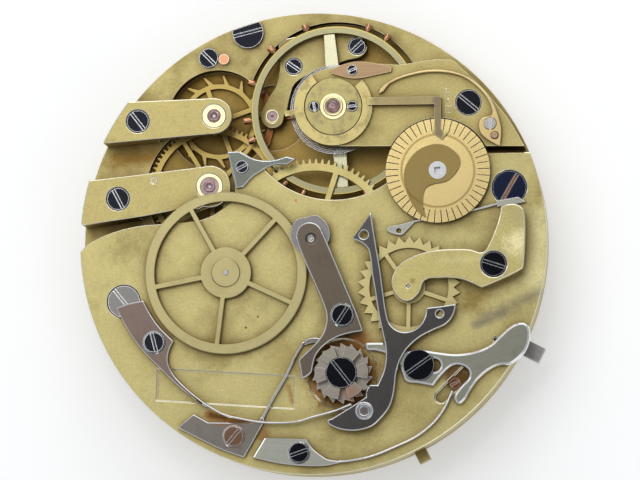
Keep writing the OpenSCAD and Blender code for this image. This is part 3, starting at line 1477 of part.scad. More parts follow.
// Minute counter
module counter_wheel() {
    z1 = counter_z + 0.25;
    tooth_root = counter_r - 0.63;
    color(brass) spoked(counter_p, tooth_root - 0.44, 1.5, 5, 0.35, counter_z, z1, 53, 0.15)
        slab_teeth(counter_p, counter_teeth, tooth_root, counter_r, counter_z, z1, -30.6);
    color(steel) {
        disc(counter_p, counter_arbor_r, top - 0.95, counter_cock_z - 0.02);
        disc(counter_p, pivot_r, counter_cock_z - 0.03, counter_cock_z + counter_cock_t);
        translate([counter_p[0], counter_p[1], heart_z])
            rotate(-75) linear_extrude(heart_t) polygon(heart(1.6, 0.75));
    }
}

module counter_jumper() {
    z0 = top + foot_gap;
    color(steel) {
        difference() {
            slab(curved(counter_jumper_edge, 3), z0 + 0.08, z0 + 0.33);
            disc([7.98, 0.75], 0.23, z0, z0 + 1);
        }
        slab(ribbon(open_curve(counter_jumper_line), blade_w), z0 + 0.08, z0 + 0.33);
        slab(counter_jumper_foot, z0, z0 + 0.33);
    }
}

// Screws
module frame_screws() {
    color(blued) {
        for (s = concat(plate_screws, [counter_cock_screw, slot_screw])) screw(s);
        difference() {
            screw(dog_screw);
            rotate(107.6) translate([plate_r - 0.15, -3, 0]) cube([3, 6, 5]);
        }
    }
}

module work_screws() {
    color(blued) {
        for (s = concat(foot_screws, post_screws, cap_screws, [index_spring_screw, stud_screw])) screw(s);
        for (p = [transfer_p, crown_p]) screw_under(p, 1.1);
    }
    color(copper) {
        disc(hammer_p, hammer_pin_r, top - 1.2, hammer_z + hammer_t + 0.1);
        disc(plate_pin_p, plate_pin_r, plate_t - 0.8, plate_t + 0.45);
        disc(index_pin_p, index_pin_r, balance_cock_top - 0.6, balance_cock_top + 0.7);
        disc(dowel_p, dowel_r, cock_under + 0.1, top);
    }
}

// Jewels and their settings: place, jewel radius, setting radius, height of the face
upper_jewels = [
    [escape_p, 0.6, 1.1, top], [fourth_p, 0.85, 1.23, top], [pallet_p, 0.48, 0.64, plate_t]
];

module jewels() {
    color(ruby) {
        for (j = lower_jewels)
            tube(j[0], lower_jewel_r, pivot_r + pivot_gap, j[1], j[2]);
        for (j = upper_jewels)
            tube(j[0], j[1], pivot_r + pivot_gap, j[3] - jewel_t - 0.05, j[3] - 0.05);
        tube(third_p, lower_jewel_r, third_post_r + pivot_gap, top - 0.4, top - 0.05);
        disc(balance_p, cap_jewel_r, cap_plate_z + 0.01, cap_plate_z + cap_plate_t - 0.05);
        tube(
            balance_p, upper_bearing_r, pivot_r + pivot_gap, balance_cock_top - 0.3,
            balance_cock_top - 0.02
        );
    }
}

module jewel_settings() {
    color(brass) {
        for (j = upper_jewels) tube(j[0], j[2], j[1], j[3] - jewel_t - 0.05, j[3]);
        tube(balance_p, cap_setting_r, cap_jewel_r, cap_plate_z, cap_plate_z + cap_plate_t + 0.06);
        tube(balance_p, cap_setting_r, upper_bearing_r, balance_cock_top - 0.3, balance_cock_top);
    }
}

main_plate();
three_quarter_bridge();
escape_cock();
fourth_cock();
balance_cock();
pallet_cock();
minute_counter_cock();
guard_finger();
barrel_drum();
barrel_cover();
mainspring();
barrel_arbor();
ratchet_wheel();
click();
click_spring();
transfer_wheel();
crown_wheel();
winding_stem();
winding_pinion();
sliding_pinion();
setting_lever();
centre_arbor();
centre_wheel();
cannon_pinion();
minute_wheel();
hour_wheel();
third_arbor();
third_wheel();
driving_wheel();
fourth_arbor();
fourth_wheel();
escape_arbor();
escape_wheel();
pallet_fork();
pallet_stones();
balance_wheel();
balance_screws();
balance_staff();
hairspring();
hairspring_stud();
regulator_index();
cap_jewel_plate();
index_spring();
snail_disc();
snail_post();
runner_arbor();
runner_heart();
coupling_lever();
hammer();
hammer_spring();
column_wheel();
column_jumper();
operating_lever();
operating_spring();
counter_wheel();
counter_jumper();
frame_screws();
work_screws();
jewels();
jewel_settings();
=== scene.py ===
"""Looks of a pocket chronograph movement, laid out as a Blender add-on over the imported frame."""

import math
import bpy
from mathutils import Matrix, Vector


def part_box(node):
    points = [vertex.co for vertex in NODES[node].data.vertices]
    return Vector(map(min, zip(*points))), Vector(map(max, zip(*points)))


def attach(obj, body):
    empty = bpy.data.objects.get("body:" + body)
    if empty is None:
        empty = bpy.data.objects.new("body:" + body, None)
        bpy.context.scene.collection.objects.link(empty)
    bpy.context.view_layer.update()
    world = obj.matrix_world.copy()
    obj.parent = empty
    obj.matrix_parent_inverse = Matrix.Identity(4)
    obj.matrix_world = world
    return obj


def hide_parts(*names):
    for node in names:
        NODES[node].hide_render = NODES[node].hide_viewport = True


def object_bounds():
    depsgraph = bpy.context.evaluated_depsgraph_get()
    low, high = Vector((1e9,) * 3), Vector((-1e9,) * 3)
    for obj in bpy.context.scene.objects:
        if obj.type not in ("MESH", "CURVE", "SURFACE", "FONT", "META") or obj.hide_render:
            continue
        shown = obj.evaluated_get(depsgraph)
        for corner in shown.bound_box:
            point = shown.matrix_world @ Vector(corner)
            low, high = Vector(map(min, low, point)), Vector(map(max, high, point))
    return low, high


bl_info = {
    "name": "Chronograph Movement Looks",
    "version": (1, 0, 0),
    "blender": (4, 5, 0),
    "location": "View3D > Sidebar > Movement",
    "description": "Finishes, small details, lamps and camera for a pocket chronograph movement",
    "category": "Object",
}

import bpy
from bpy.props import FloatProperty, FloatVectorProperty, PointerProperty
from mathutils import Matrix, Vector

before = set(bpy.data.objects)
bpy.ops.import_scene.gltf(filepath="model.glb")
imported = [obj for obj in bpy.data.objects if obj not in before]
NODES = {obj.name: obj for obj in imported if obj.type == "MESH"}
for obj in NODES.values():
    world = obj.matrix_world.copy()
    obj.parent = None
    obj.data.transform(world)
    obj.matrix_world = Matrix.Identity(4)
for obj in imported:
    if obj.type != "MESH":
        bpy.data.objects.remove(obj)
CAD_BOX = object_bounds()
MM = 0.001
WHITE = (1, 1, 1)

# Places seen from the bridge side, in millimetres from the middle of the plate
BALANCE_CENTRE = (2.0, 12.25)
COLUMN_CENTRE = (2.8, -12.3)
SNAIL_CENTRE = (11.6, 6.2)
TRAIN_JEWELS = {"escape": (-9.1, 11.6), "fourth": (-9.5, 5.05)}

# Heights over the plate's underside, in millimetres
BRIDGE_TOP = 4.9
WELL_TOP = 1.7
UNDERSIDE_TOP = 0.2

# Radii in millimetres, as pairs between which a ring's mask rises from 0 to 1
PLATE_RIM = (19.9, 20.1)
BALANCE_RIM = (7.1, 7.16)
BALANCE_LAYER = (7.72, 7.76)
SNAIL_SLOTS = (3.6, 3.62)
SNAIL_GROOVE = ((3.2, 3.28), (3.36, 3.5))

# In millimetres, how high the snail stands over its disc and how far below the disc the slots begin
SNAIL_HEIGHT = 0.345
SLOT_DROP = 0.015

# Outlines of the turned jewel pieces: radius and height in millimetres
CAP_DOME = [(0.01, 0.2), (0.2, 0.19), (0.4, 0.14), (0.54, 0.07), (0.6, -0.02), (0.01, -0.02)]
CAP_BEAD = [(0.7, -0.02), (0.7, 0.05), (0.76, 0.1), (0.86, 0.1), (0.92, 0.05), (0.92, -0.02)]
JEWEL_CUP = [(0.2, -0.02), (0.2, 0.0), (0.34, 0.07), (0.46, 0.08), (0.55, 0.03), (0.55, -0.02)]

# Angles between faces in degrees: the most that is joined as flat, and the least that is rounded
FLAT_ANGLE = 1
CORNER_ANGLE = 38

# Points round each full turn of a turned piece or of the hairspring
TURN_STEPS = 48

# The picture that the camera's pixel scale is given for
PICTURE_WIDTH = 640


def colour_setting(name, description, default):
    """A colour that a user can change."""
    return FloatVectorProperty(
        name=name, description=description, subtype="COLOR", default=default, min=0, max=1
    )


class FinishSettings(bpy.types.PropertyGroup):
    """Colours of the metals and jewels, and the width of the steel work's bevels."""

    gilt: colour_setting("Gilt", "Colour of the frosted gilt bridge", (0.52, 0.445, 0.19))
    old_gilt: colour_setting(
        "Old Gilt", "Colour of the darker gilt in worn patches", (0.31, 0.23, 0.075)
    )
    brass: colour_setting("Brass", "Colour of the gilt brass wheels", (0.52, 0.44, 0.18))
    steel: colour_setting("Steel", "Colour of the winding work's steel", (0.42, 0.42, 0.37))
    # Painted reflection: the low values of the dark and brown steels stand for dark surroundings
    # mirrored in polished steel; their brown tint is their own.
    dark_steel: colour_setting(
        "Dark Steel", "Colour of the darkened, polished steel", (0.085, 0.08, 0.075)
    )
    brown_steel: colour_setting(
        "Brown Steel", "Colour of the brown satin steel", (0.125, 0.1, 0.074)
    )
    blued: colour_setting("Blued Steel", "Colour of the darkest screws", (0.012, 0.013, 0.017))
    rust: colour_setting("Rust", "Colour of the rust stains", (0.3, 0.11, 0.03))
    copper: colour_setting("Copper", "Colour of the copper pins and rim screws", (0.5, 0.25, 0.13))
    ruby: colour_setting("Jewel", "Colour of the pinkish brown jewels", (0.2, 0.085, 0.08))
    bevel_width: FloatProperty(
        name="Bevel Width",
        description="Width of the bright bevels on steel work",
        subtype="DISTANCE",
        default=0.12 * MM,
        min=0,
        max=MM,
    )


class StageSettings(bpy.types.PropertyGroup):
    """Camera, floor and lamps."""

    tilt_east: FloatProperty(
        name="Tilt East",
        description="How far the camera leans to the right of straight above",
        subtype="ANGLE",
        default=math.radians(5.4),
    )
    tilt_south: FloatProperty(
        name="Tilt South",
        description="How far the camera leans to the front of straight above",
        subtype="ANGLE",
        default=math.radians(6.0),
    )
    camera_distance: FloatProperty(
        name="Camera Distance",
        description="Distance from the camera to the bridge top",
        subtype="DISTANCE",
        default=0.35,
        min=0.1,
    )
    pixel_scale: FloatProperty(
        name="Pixel Scale",
        description="Pixels of the picture for each millimetre at the bridge top",
        default=10.91,
        min=1,
    )
    aim_x: FloatProperty(
        name="Aim X",
        description="Where the middle of the picture meets the bridge top, to the right of centre",
        subtype="DISTANCE",
        default=0.72 * MM,
    )
    aim_y: FloatProperty(
        name="Aim Y",
        description="Where the middle of the picture meets the bridge top, above centre",
        subtype="DISTANCE",
        default=0.0,
    )
    floor_colour: colour_setting("Floor Colour", "Colour of the pale floor", (0.86, 0.86, 0.84))
    floor_glow: FloatProperty(
        name="Floor Glow",
        description="How much the floor is lifted towards white where a camera or mirror sees it",
        default=0.3,
        min=0,
        max=1,
    )
    key_power: FloatProperty(
        name="Key Power",
        description="Power of the large lamp above",
        default=0.33,
        min=0,
        unit="POWER",
    )
    world_level: FloatProperty(
        name="World Level",
        description="Brightness of the light from all round",
        default=0.5,
        min=0,
    )


# Small helpers for node trees


def make_node(tree, kind, **values):
    """Adds a node and sets its plain attributes."""
    made = tree.nodes.new(kind)
    for key, value in values.items():
        setattr(made, key, value)
    return made


def set_inputs(made, **values):
    """Sets input sockets by name, with spaces written as underscores."""
    for key, value in values.items():
        made.inputs[key.replace("_", " ")].default_value = value
    return made


def feed(tree, socket, value):
    """Links an output to a socket, or sets a number, a vector or a colour on it."""
    if isinstance(value, bpy.types.NodeSocket):
        tree.links.new(value, socket)
    elif isinstance(value, (int, float)):
        socket.default_value = value
    else:
        opaque = (1,) if len(socket.default_value) == 4 else ()
        socket.default_value = (*value[:3], *opaque)


def math_node(tree, operation, first, second, clamp=False):
    """A Math node fed by sockets or numbers."""
    made = make_node(tree, "ShaderNodeMath", operation=operation, use_clamp=clamp)
    feed(tree, made.inputs[0], first)
    feed(tree, made.inputs[1], second)
    return made.outputs[0]


def vector_math(tree, operation, first, second):
    """A Vector Math node fed by sockets or plain values."""
    made = make_node(tree, "ShaderNodeVectorMath", operation=operation)
    feed(tree, made.inputs[0], first)
    feed(tree, made.inputs["Scale"] if operation == "SCALE" else made.inputs[1], second)
    return made.outputs["Value" if operation in ("DOT_PRODUCT", "DISTANCE") else "Vector"]


def mix_colour(tree, factor, first, second):
    """A colour mix fed by sockets or plain colours."""
    made = make_node(tree, "ShaderNodeMix", data_type="RGBA")
    for index, value in ((0, factor), (6, first), (7, second)):
        feed(tree, made.inputs[index], value)
    return made.outputs[2]


def noise(tree, vector, scale, detail=3.0, roughness=0.55):
    """A noise texture over the given places."""
    made = make_node(tree, "ShaderNodeTexNoise")
    set_inputs(made, Detail=detail, Roughness=roughness)
    feed(tree, made.inputs["Scale"], scale)
    feed(tree, made.inputs["Vector"], vector)
    return made.outputs["Fac"]


def object_place(tree):
    """The place on the piece, in metres in the part's frame."""
    return make_node(tree, "ShaderNodeTexCoord").outputs["Object"]


def place_from_above(tree):
    """The place on the piece with its height left out."""
    return vector_math(tree, "MULTIPLY", object_place(tree), (1, 1, 0))


def height_of_place(tree):
    """The height of the place on the piece."""
    made = make_node(tree, "ShaderNodeSeparateXYZ")
    feed(tree, made.inputs[0], object_place(tree))
    return made.outputs["Z"]


def flat_vector(place):
    """A place in millimetres as a vector in metres with no height."""
    return (place[0] * MM, place[1] * MM, 0)


# Shared effects


def new_group(name, inputs, outputs):
    """An empty shader node group with named sockets, and its inner sockets."""
    group = bpy.data.node_groups.new(name, "ShaderNodeTree")
    for socket, default in inputs.items():
        kind = "NodeSocketVector" if isinstance(default, tuple) else "NodeSocketFloat"
        made = group.interface.new_socket(name=socket, in_out="INPUT", socket_type=kind)
        made.default_value = default
    for socket in outputs:
        group.interface.new_socket(name=socket, in_out="OUTPUT", socket_type="NodeSocketFloat")
    inside = make_node(group, "NodeGroupInput").outputs
    outside = make_node(group, "NodeGroupOutput").inputs
    return group, inside, outside


def frosted_grain_group():
    """Fine frosting with bright specks, which are painted glints: a shade and a height, from grains
    of a given scale.
    """
    group, inside, outside = new_group(
        "Frosted Grain", {"Grains": 7000.0, "Strength": 0.12}, ("Shade", "Height")
    )
    cloud_scale, speck_scale, speck_start, speck_gain = 420.0, 11000.0, 0.62, 14.0
    fine_share, contrast = 0.7, 4.0
    place = object_place(group)
    fine = noise(group, place, inside["Grains"], detail=4.0, roughness=0.7)
    wide = noise(group, place, cloud_scale)
    both = math_node(
        group,
        "ADD",
        math_node(group, "MULTIPLY", fine, fine_share),
        math_node(group, "MULTIPLY", wide, 1 - fine_share),
    )
    offset = math_node(group, "SUBTRACT", both, 0.5)
    swing = math_node(group, "MULTIPLY", offset, inside["Strength"])
    shade = math_node(group, "ADD", math_node(group, "MULTIPLY", swing, contrast), 1.0)
    # Painted glints: bright specks standing for the sparkle of the grains.
    glint_noise = noise(group, place, speck_scale, detail=1.0, roughness=0.5)
    glint_noise = math_node(group, "SUBTRACT", glint_noise, speck_start)
    specks = math_node(group, "MULTIPLY", glint_noise, speck_gain, clamp=True)
    brighter = math_node(group, "MULTIPLY", specks, inside["Strength"])
    feed(group, outside["Shade"], math_node(group, "ADD", shade, brighter))
    feed(group, outside["Height"], fine)
    return group


def brushed_lines_group():
    """Brushing along one direction, turned by an angle about the upright axis."""
    group, inside, outside = new_group(
        "Brushed Lines", {"Angle": 0.0, "Lines": 9000.0}, ("Shade", "Height")
    )
    stretch = (0.04, 1.0, 1.0)
    darkest, contrast = 0.85, 0.3
    turn = make_node(group, "ShaderNodeVectorRotate", rotation_type="Z_AXIS")
    feed(group, turn.inputs["Vector"], object_place(group))
    feed(group, turn.inputs["Angle"], inside["Angle"])
    drawn = vector_math(group, "MULTIPLY", turn.outputs[0], stretch)
    lines = noise(group, drawn, inside["Lines"], detail=2.0, roughness=0.6)
    shade = math_node(group, "ADD", math_node(group, "MULTIPLY", lines, contrast), darkest)
    feed(group, outside["Shade"], shade)
    feed(group, outside["Height"], lines)
    return group


def patina_group():
    """Cloudy patches of tarnish as a mask."""
    group, inside, outside = new_group(
        "Patina", {"Patches": 160.0, "Start": 0.5, "Amount": 0.5}, ("Mask",)
    )
    hardness = 6.0
    cloud = noise(group, object_place(group), inside["Patches"], detail=6.0, roughness=0.65)
    above = math_node(group, "SUBTRACT", cloud, inside["Start"])
    hard = math_node(group, "MULTIPLY", above, hardness, clamp=True)
    feed(group, outside["Mask"], math_node(group, "MULTIPLY", hard, inside["Amount"]))
    return group


def stain_group():
    """A ragged stain along a line seen from above, as a mask; with no length it is round."""
    nowhere = (0.0, 0.0, 0.0)
    group, inside, outside = new_group(
        "Ragged Stain",
        {"Centre": nowhere, "End": nowhere, "Radius": 0.003, "Soft": 0.001, "Ragged": 0.001},
        ("Mask",),
    )
    cloud_scale, raggedness, no_length = 1100.0, 3.0, 1e-12
    along = vector_math(group, "SUBTRACT", inside["End"], inside["Centre"])
    offset = vector_math(group, "SUBTRACT", place_from_above(group), inside["Centre"])
    length = math_node(group, "ADD", vector_math(group, "DOT_PRODUCT", along, along), no_length)
    reached = vector_math(group, "DOT_PRODUCT", offset, along)
    share = math_node(group, "DIVIDE", reached, length, clamp=True)
    distance = vector_math(group, "DISTANCE", offset, vector_math(group, "SCALE", along, share))
    cloud = noise(group, object_place(group), cloud_scale, detail=5.0, roughness=0.7)
    wobble = math_node(
        group, "MULTIPLY", math_node(group, "SUBTRACT", cloud, 0.5), inside["Ragged"]
    )
    edge = math_node(group, "ADD", distance, math_node(group, "MULTIPLY", wobble, raggedness))
    inwards = math_node(group, "SUBTRACT", inside["Radius"], edge)
    feed(group, outside["Mask"], math_node(group, "DIVIDE", inwards, inside["Soft"], clamp=True))
    return group


def edge_highlight_group():
    """A painted highlight along the edges, found where a rounded normal leaves the surface's own.
    """
    group, inside, outside = new_group("Painted Edge Highlight", {"Width": 0.08 * MM, "Gain": 3.0}, ("Mask",))
    rounded = make_node(group, "ShaderNodeBevel", samples=4)
    feed(group, rounded.inputs["Radius"], inside["Width"])
    own = make_node(group, "ShaderNodeNewGeometry")
    same = vector_math(group, "DOT_PRODUCT", rounded.outputs["Normal"], own.outputs["Normal"])
    away = math_node(group, "SUBTRACT", 1.0, same)
    feed(group, outside["Mask"], math_node(group, "MULTIPLY", away, inside["Gain"], clamp=True))
    return group


def ring_band_group():
    """A mask that rises from 0 to 1 between two distances from an upright axis."""
    group, inside, outside = new_group(
        "Ring Band", {"Centre": (0.0, 0.0, 0.0), "Inner": 0.001, "Outer": 0.002}, ("Mask",)
    )
    distance = vector_math(group, "DISTANCE", place_from_above(group), inside["Centre"])
    past = math_node(group, "SUBTRACT", distance, inside["Inner"])
    width = math_node(group, "SUBTRACT", inside["Outer"], inside["Inner"])
    feed(group, outside["Mask"], math_node(group, "DIVIDE", past, width, clamp=True))
    return group


EFFECT_MAKERS = {
    "grain": frosted_grain_group,
    "brushed": brushed_lines_group,
    "patina": patina_group,
    "stain": stain_group,
    "edge": edge_highlight_group,
    "ring": ring_band_group,
}
EFFECTS = {}


def effect(tree, name, **values):
    """Places a shared effect in a material with its own values, and gives its outputs.

    The group is built the first time it is asked for.
    """
    if name not in EFFECTS:
        EFFECTS[name] = EFFECT_MAKERS[name]()
    made = make_node(tree, "ShaderNodeGroup", node_tree=EFFECTS[name])
    return set_inputs(made, **values).outputs


# Steps that the materials share


def start_material(name, metallic, roughness):
    """A material with its Principled shader, whose constants stay on the shader's sockets."""
    material = bpy.data.materials.new(name)
    material.use_nodes = True
    shader = material.node_tree.nodes["Principled BSDF"]
    set_inputs(shader, Metallic=metallic, Roughness=roughness)
    return material, material.node_tree, shader


def bump(tree, shader, height, strength, distance):
    """Feeds a height to the shader's normal."""
    made = make_node(tree, "ShaderNodeBump")
    set_inputs(made, Strength=strength, Distance=distance)
    feed(tree, made.inputs["Height"], height)
    feed(tree, shader.inputs["Normal"], made.outputs["Normal"])


def shaded(tree, colour, factor):
    """A colour multiplied by a shade socket."""
    return vector_math(tree, "SCALE", colour, factor)


def stained(tree, colour, stains):
    """Lays ragged stains over a colour.

    Each is a place or two ends in mm, a radius and a softness in mm, a colour and a share.
    """
    ragged_share = 0.5
    for ends, radius, soft, stain_colour, amount in stains:
        spot = effect(
            tree,
            "stain",
            Centre=flat_vector(ends[:2]),
            End=flat_vector(ends[-2:]),
            Radius=radius * MM,
            Soft=soft * MM,
            Ragged=radius * ragged_share * MM,
        )
        factor = math_node(tree, "MULTIPLY", spot["Mask"], amount)
        colour = mix_colour(tree, factor, colour, stain_colour)
    return colour


def painted_hollow_shade(tree, colour, shade_colour, reach, amount):
    """Paints shade into a colour: darker in wells, in corners and under overhanging pieces."""
    open_sky = make_node(tree, "ShaderNodeAmbientOcclusion", samples=6)
    set_inputs(open_sky, Distance=reach)
    closed = math_node(tree, "SUBTRACT", 1.0, open_sky.outputs["AO"])
    factor = math_node(tree, "MULTIPLY", closed, amount, clamp=True)
    return mix_colour(tree, factor, colour, shade_colour)


def with_edge_highlight(tree, colour, bright, width, gain, amount=1.0):
    """Paints a highlight into a colour along the edges."""
    edge = effect(tree, "edge", Width=width, Gain=gain)
    return mix_colour(tree, math_node(tree, "MULTIPLY", edge["Mask"], amount), colour, bright)


def below_height(tree, level):
    """A mask that is 1 under a height in mm and 0 above it."""
    soft = 0.1 * MM
    under = math_node(tree, "SUBTRACT", level * MM, height_of_place(tree))
    return math_node(tree, "DIVIDE", under, soft, clamp=True)


def ring(tree, radii, centre=(0.0, 0.0)):
    """A mask that rises between two radii round a place, all in mm."""
    inner, outer = radii
    made = effect(tree, "ring", Centre=flat_vector(centre), Inner=inner * MM, Outer=outer * MM)
    return made["Mask"]


# Materials


def frosted_gilt(
    name, colour, old, patches=160.0, start=0.52, stains=(), shaded_wells=False, edge_width=0.13 * MM
):
    """Frosted gilt plate: grain, cloudy tarnish, stains, painted shade in the hollows and painted
    highlights along the edges.

    The floors inside the plate's rim can take a painted browner shade.
    """
    roughness, tarnish_adds = 0.42, 0.25
    # Painted colours: the browner well floors, the shade in the hollows and the highlight along the
    # edges.
    painted_well_shade, painted_shade, worn_and_highlight = (0.31, 0.21, 0.06), (0.1, 0.045, 0.006), (0.9, 0.83, 0.56)
    material, tree, shader = start_material(name, metallic=1.0, roughness=roughness)
    grain = effect(tree, "grain", Grains=5200.0, Strength=0.22)
    tarnish = effect(tree, "patina", Patches=patches, Start=start, Amount=0.45)["Mask"]
    base = stained(tree, mix_colour(tree, tarnish, colour, old), stains)
    # Painted shade: browner, darker floors inside the plate's rim.
    if shaded_wells:
        floors = math_node(
            tree, "SUBTRACT", below_height(tree, WELL_TOP), below_height(tree, UNDERSIDE_TOP)
        )
        floors = math_node(tree, "SUBTRACT", floors, ring(tree, PLATE_RIM), clamp=True)
        base = mix_colour(tree, floors, base, painted_well_shade)
    # Painted shade: darker in wells, in corners and under overhanging pieces.
    base = painted_hollow_shade(tree, shaded(tree, base, grain["Shade"]), painted_shade, reach=1.6 * MM, amount=1.2)
    # Painted highlight along the edges.
    base = with_edge_highlight(tree, base, worn_and_highlight, width=edge_width, gain=2.8, amount=0.85)
    feed(tree, shader.inputs["Base Color"], base)
    rougher = math_node(tree, "MULTIPLY", tarnish, tarnish_adds)
    feed(tree, shader.inputs["Roughness"], math_node(tree, "ADD", rougher, roughness))
    bump(tree, shader, grain["Height"], strength=0.35, distance=0.03 * MM)
    return material


def turned_brass(name, colour, old, roughness=0.33, amount=0.3, patches=240.0, stains=()):
    """Gilt brass of the wheels, smoother than the plates, with painted shade in the hollows and
    painted highlights along the edges.
    """
    # Painted colours: the shade in the hollows and the highlight along the edges.
    painted_shade, worn_and_highlight = (0.12, 0.06, 0.01), (0.95, 0.86, 0.52)
    material, tree, shader = start_material(name, metallic=1.0, roughness=roughness)
    grain = effect(tree, "grain", Grains=9500.0, Strength=0.09)
    tarnish = effect(tree, "patina", Patches=patches, Start=0.5, Amount=amount)["Mask"]
    base = stained(tree, mix_colour(tree, tarnish, colour, old), stains)
    # Painted shade: darker in hollows and under overhanging pieces.
    base = painted_hollow_shade(tree, shaded(tree, base, grain["Shade"]), painted_shade, reach=0.7 * MM, amount=0.8)
    # Painted highlight along the edges.
    base = with_edge_highlight(tree, base, worn_and_highlight, width=0.07 * MM, gain=2.5, amount=0.6)
    feed(tree, shader.inputs["Base Color"], base)
    bump(tree, shader, grain["Height"], strength=0.2, distance=0.02 * MM)
    return material


def satin_steel(name, colour, angle=0.0, roughness=0.28, edge=(0.85, 0.85, 0.85), stains=()):
    """Brushed steel with painted highlights along the edges and faint blotches."""
    blotch_share = 0.45
    material, tree, shader = start_material(name, metallic=1.0, roughness=roughness)
    lines = effect(tree, "brushed", Angle=angle, Lines=7000.0)
    tarnish = effect(tree, "patina", Patches=520.0, Start=0.56, Amount=0.3)["Mask"]
    darker = tuple(channel * blotch_share for channel in colour)
    base = stained(tree, mix_colour(tree, tarnish, colour, darker), stains)
    base = with_edge_highlight(tree, shaded(tree, base, lines["Shade"]), edge, width=0.1 * MM, gain=4.0)
    feed(tree, shader.inputs["Base Color"], base)
    bump(tree, shader, lines["Height"], strength=0.12, distance=0.01 * MM)
    return material


def bright_bevel(name, colour=(0.86, 0.86, 0.85)):
    """The polished bevel along an edge."""
    material, tree, shader = start_material(name, metallic=1.0, roughness=0.16)
    lines = effect(tree, "brushed", Lines=4000.0)
    feed(tree, shader.inputs["Base Color"], shaded(tree, colour, lines["Shade"]))
    return material


def polished_screw(name, colour, stains=(), roughness=0.14, edge=(0.8, 0.8, 0.8)):
    """A flat polished screw head with painted highlights along the rim and slot edges."""
    material, tree, shader = start_material(name, metallic=1.0, roughness=roughness)
    lines = effect(tree, "brushed", Lines=5200.0)
    base = stained(tree, shaded(tree, colour, lines["Shade"]), stains)
    base = with_edge_highlight(tree, base, edge, width=0.11 * MM, gain=5.0)
    feed(tree, shader.inputs["Base Color"], base)
    return material


def jewel_material(name, colour):
    """A glossy pinkish jewel with paler clouds."""
    material, tree, shader = start_material(name, metallic=0.0, roughness=0.05)
    set_inputs(shader, Coat_Weight=1.0, Coat_Roughness=0.03, IOR=1.76)
    cloud = effect(tree, "patina", Patches=1500.0, Start=0.42, Amount=0.8)["Mask"]
    pale_gain, pale_lift = 1.9, 0.08
    pale = tuple(min(1, channel * pale_gain + pale_lift) for channel in colour)
    feed(tree, shader.inputs["Base Color"], mix_colour(tree, cloud, colour, pale))
    return material


def balance_material(name, arm, steel, brass):
    """Metals of the balance: a pale arm, a silvery rim and the gold layer round it."""
    material, tree, shader = start_material(name, metallic=1.0, roughness=0.25)
    base = mix_colour(tree, ring(tree, BALANCE_RIM, BALANCE_CENTRE), arm, steel)
    base = mix_colour(tree, ring(tree, BALANCE_LAYER, BALANCE_CENTRE), base, brass)
    grain = effect(tree, "grain", Grains=8000.0, Strength=0.1)
    base = shaded(tree, base, grain["Shade"])
    # Painted highlight along the edges.
    base = with_edge_highlight(tree, base, (0.85, 0.78, 0.5), width=0.05 * MM, gain=1.6, amount=0.4)
    feed(tree, shader.inputs["Base Color"], base)
    bump(tree, shader, grain["Height"], strength=0.12, distance=0.02 * MM)
    return material


def snail_material(name, disc, cam):
    """Polished gold of the slotted disc, with painted shade in the slots and along a groove ring,
    and a duller brass snail on top.
    """
    roughness, cam_adds, groove_share = 0.24, 0.2, 0.6
    # Both colours paint shade: in a groove ring drawn only in the material, and in the slots.
    painted_groove_shade, painted_slot_shade = (0.2, 0.12, 0.03), (0.03, 0.02, 0.01)
    material, tree, shader = start_material(name, metallic=1.0, roughness=roughness)
    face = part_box("snail_disc")[1].z - SNAIL_HEIGHT * MM
    height = height_of_place(tree)
    above = math_node(tree, "GREATER_THAN", height, face)
    below = math_node(tree, "LESS_THAN", height, face - SLOT_DROP * MM)
    slots = math_node(tree, "MULTIPLY", below, ring(tree, SNAIL_SLOTS, SNAIL_CENTRE))
    grain = effect(tree, "grain", Grains=7000.0, Strength=0.1)
    base = shaded(tree, mix_colour(tree, above, disc, cam), grain["Shade"])
    inner, outer = (ring(tree, radii, SNAIL_CENTRE) for radii in SNAIL_GROOVE)
    groove = math_node(tree, "SUBTRACT", inner, outer)
    groove = math_node(tree, "MULTIPLY", groove, groove_share)
    # Painted shade of the groove ring.
    base = mix_colour(tree, groove, base, painted_groove_shade)
    # Painted highlight along the edges.
    base = with_edge_highlight(tree, base, (0.95, 0.84, 0.5), width=0.07 * MM, gain=2.5, amount=0.5)
    # Painted shade in the slots.
    feed(tree, shader.inputs["Base Color"], mix_colour(tree, slots, base, painted_slot_shade))
    rougher = math_node(tree, "MULTIPLY", above, cam_adds)
    feed(tree, shader.inputs["Roughness"], math_node(tree, "ADD", rougher, roughness))
    bump(tree, shader, grain["Height"], strength=0.12, distance=0.02 * MM)
    return material


def wear(name, material, bevel=None, width=0.03 * MM, segments=2, flat=False):
    """Gives a CAD node its finish and a small bevel, whose faces may take a second finish.

    A flat node first has its coplanar triangles joined, so that the bevel keeps one width.
    """
    node = NODES[name]
    node.data.materials.clear()
    node.data.materials.append(material)
    weld = node.modifiers.new("Weld", "WELD")
    weld.merge_threshold = 0.0001 * MM
    if flat:
        joined = node.modifiers.new("Joined Faces", "DECIMATE")
        joined.decimate_type = "DISSOLVE"
        joined.angle_limit = math.radians(FLAT_ANGLE)
    rounding = node.modifiers.new("Bevel", "BEVEL")
    rounding.width = width
    rounding.segments = segments
    rounding.limit_method = "ANGLE"
    rounding.angle_limit = math.radians(CORNER_ANGLE)
    rounding.use_clamp_overlap = not flat
    if bevel:
        node.data.materials.append(bevel)
        rounding.material = 1


# Operators


class MovementOperator:
    """Shared base of the operators."""

    bl_options = {"REGISTER", "UNDO"}

    @staticmethod
    def finish(context):
        """The finish settings of the scene."""
        return context.scene.movement_finish


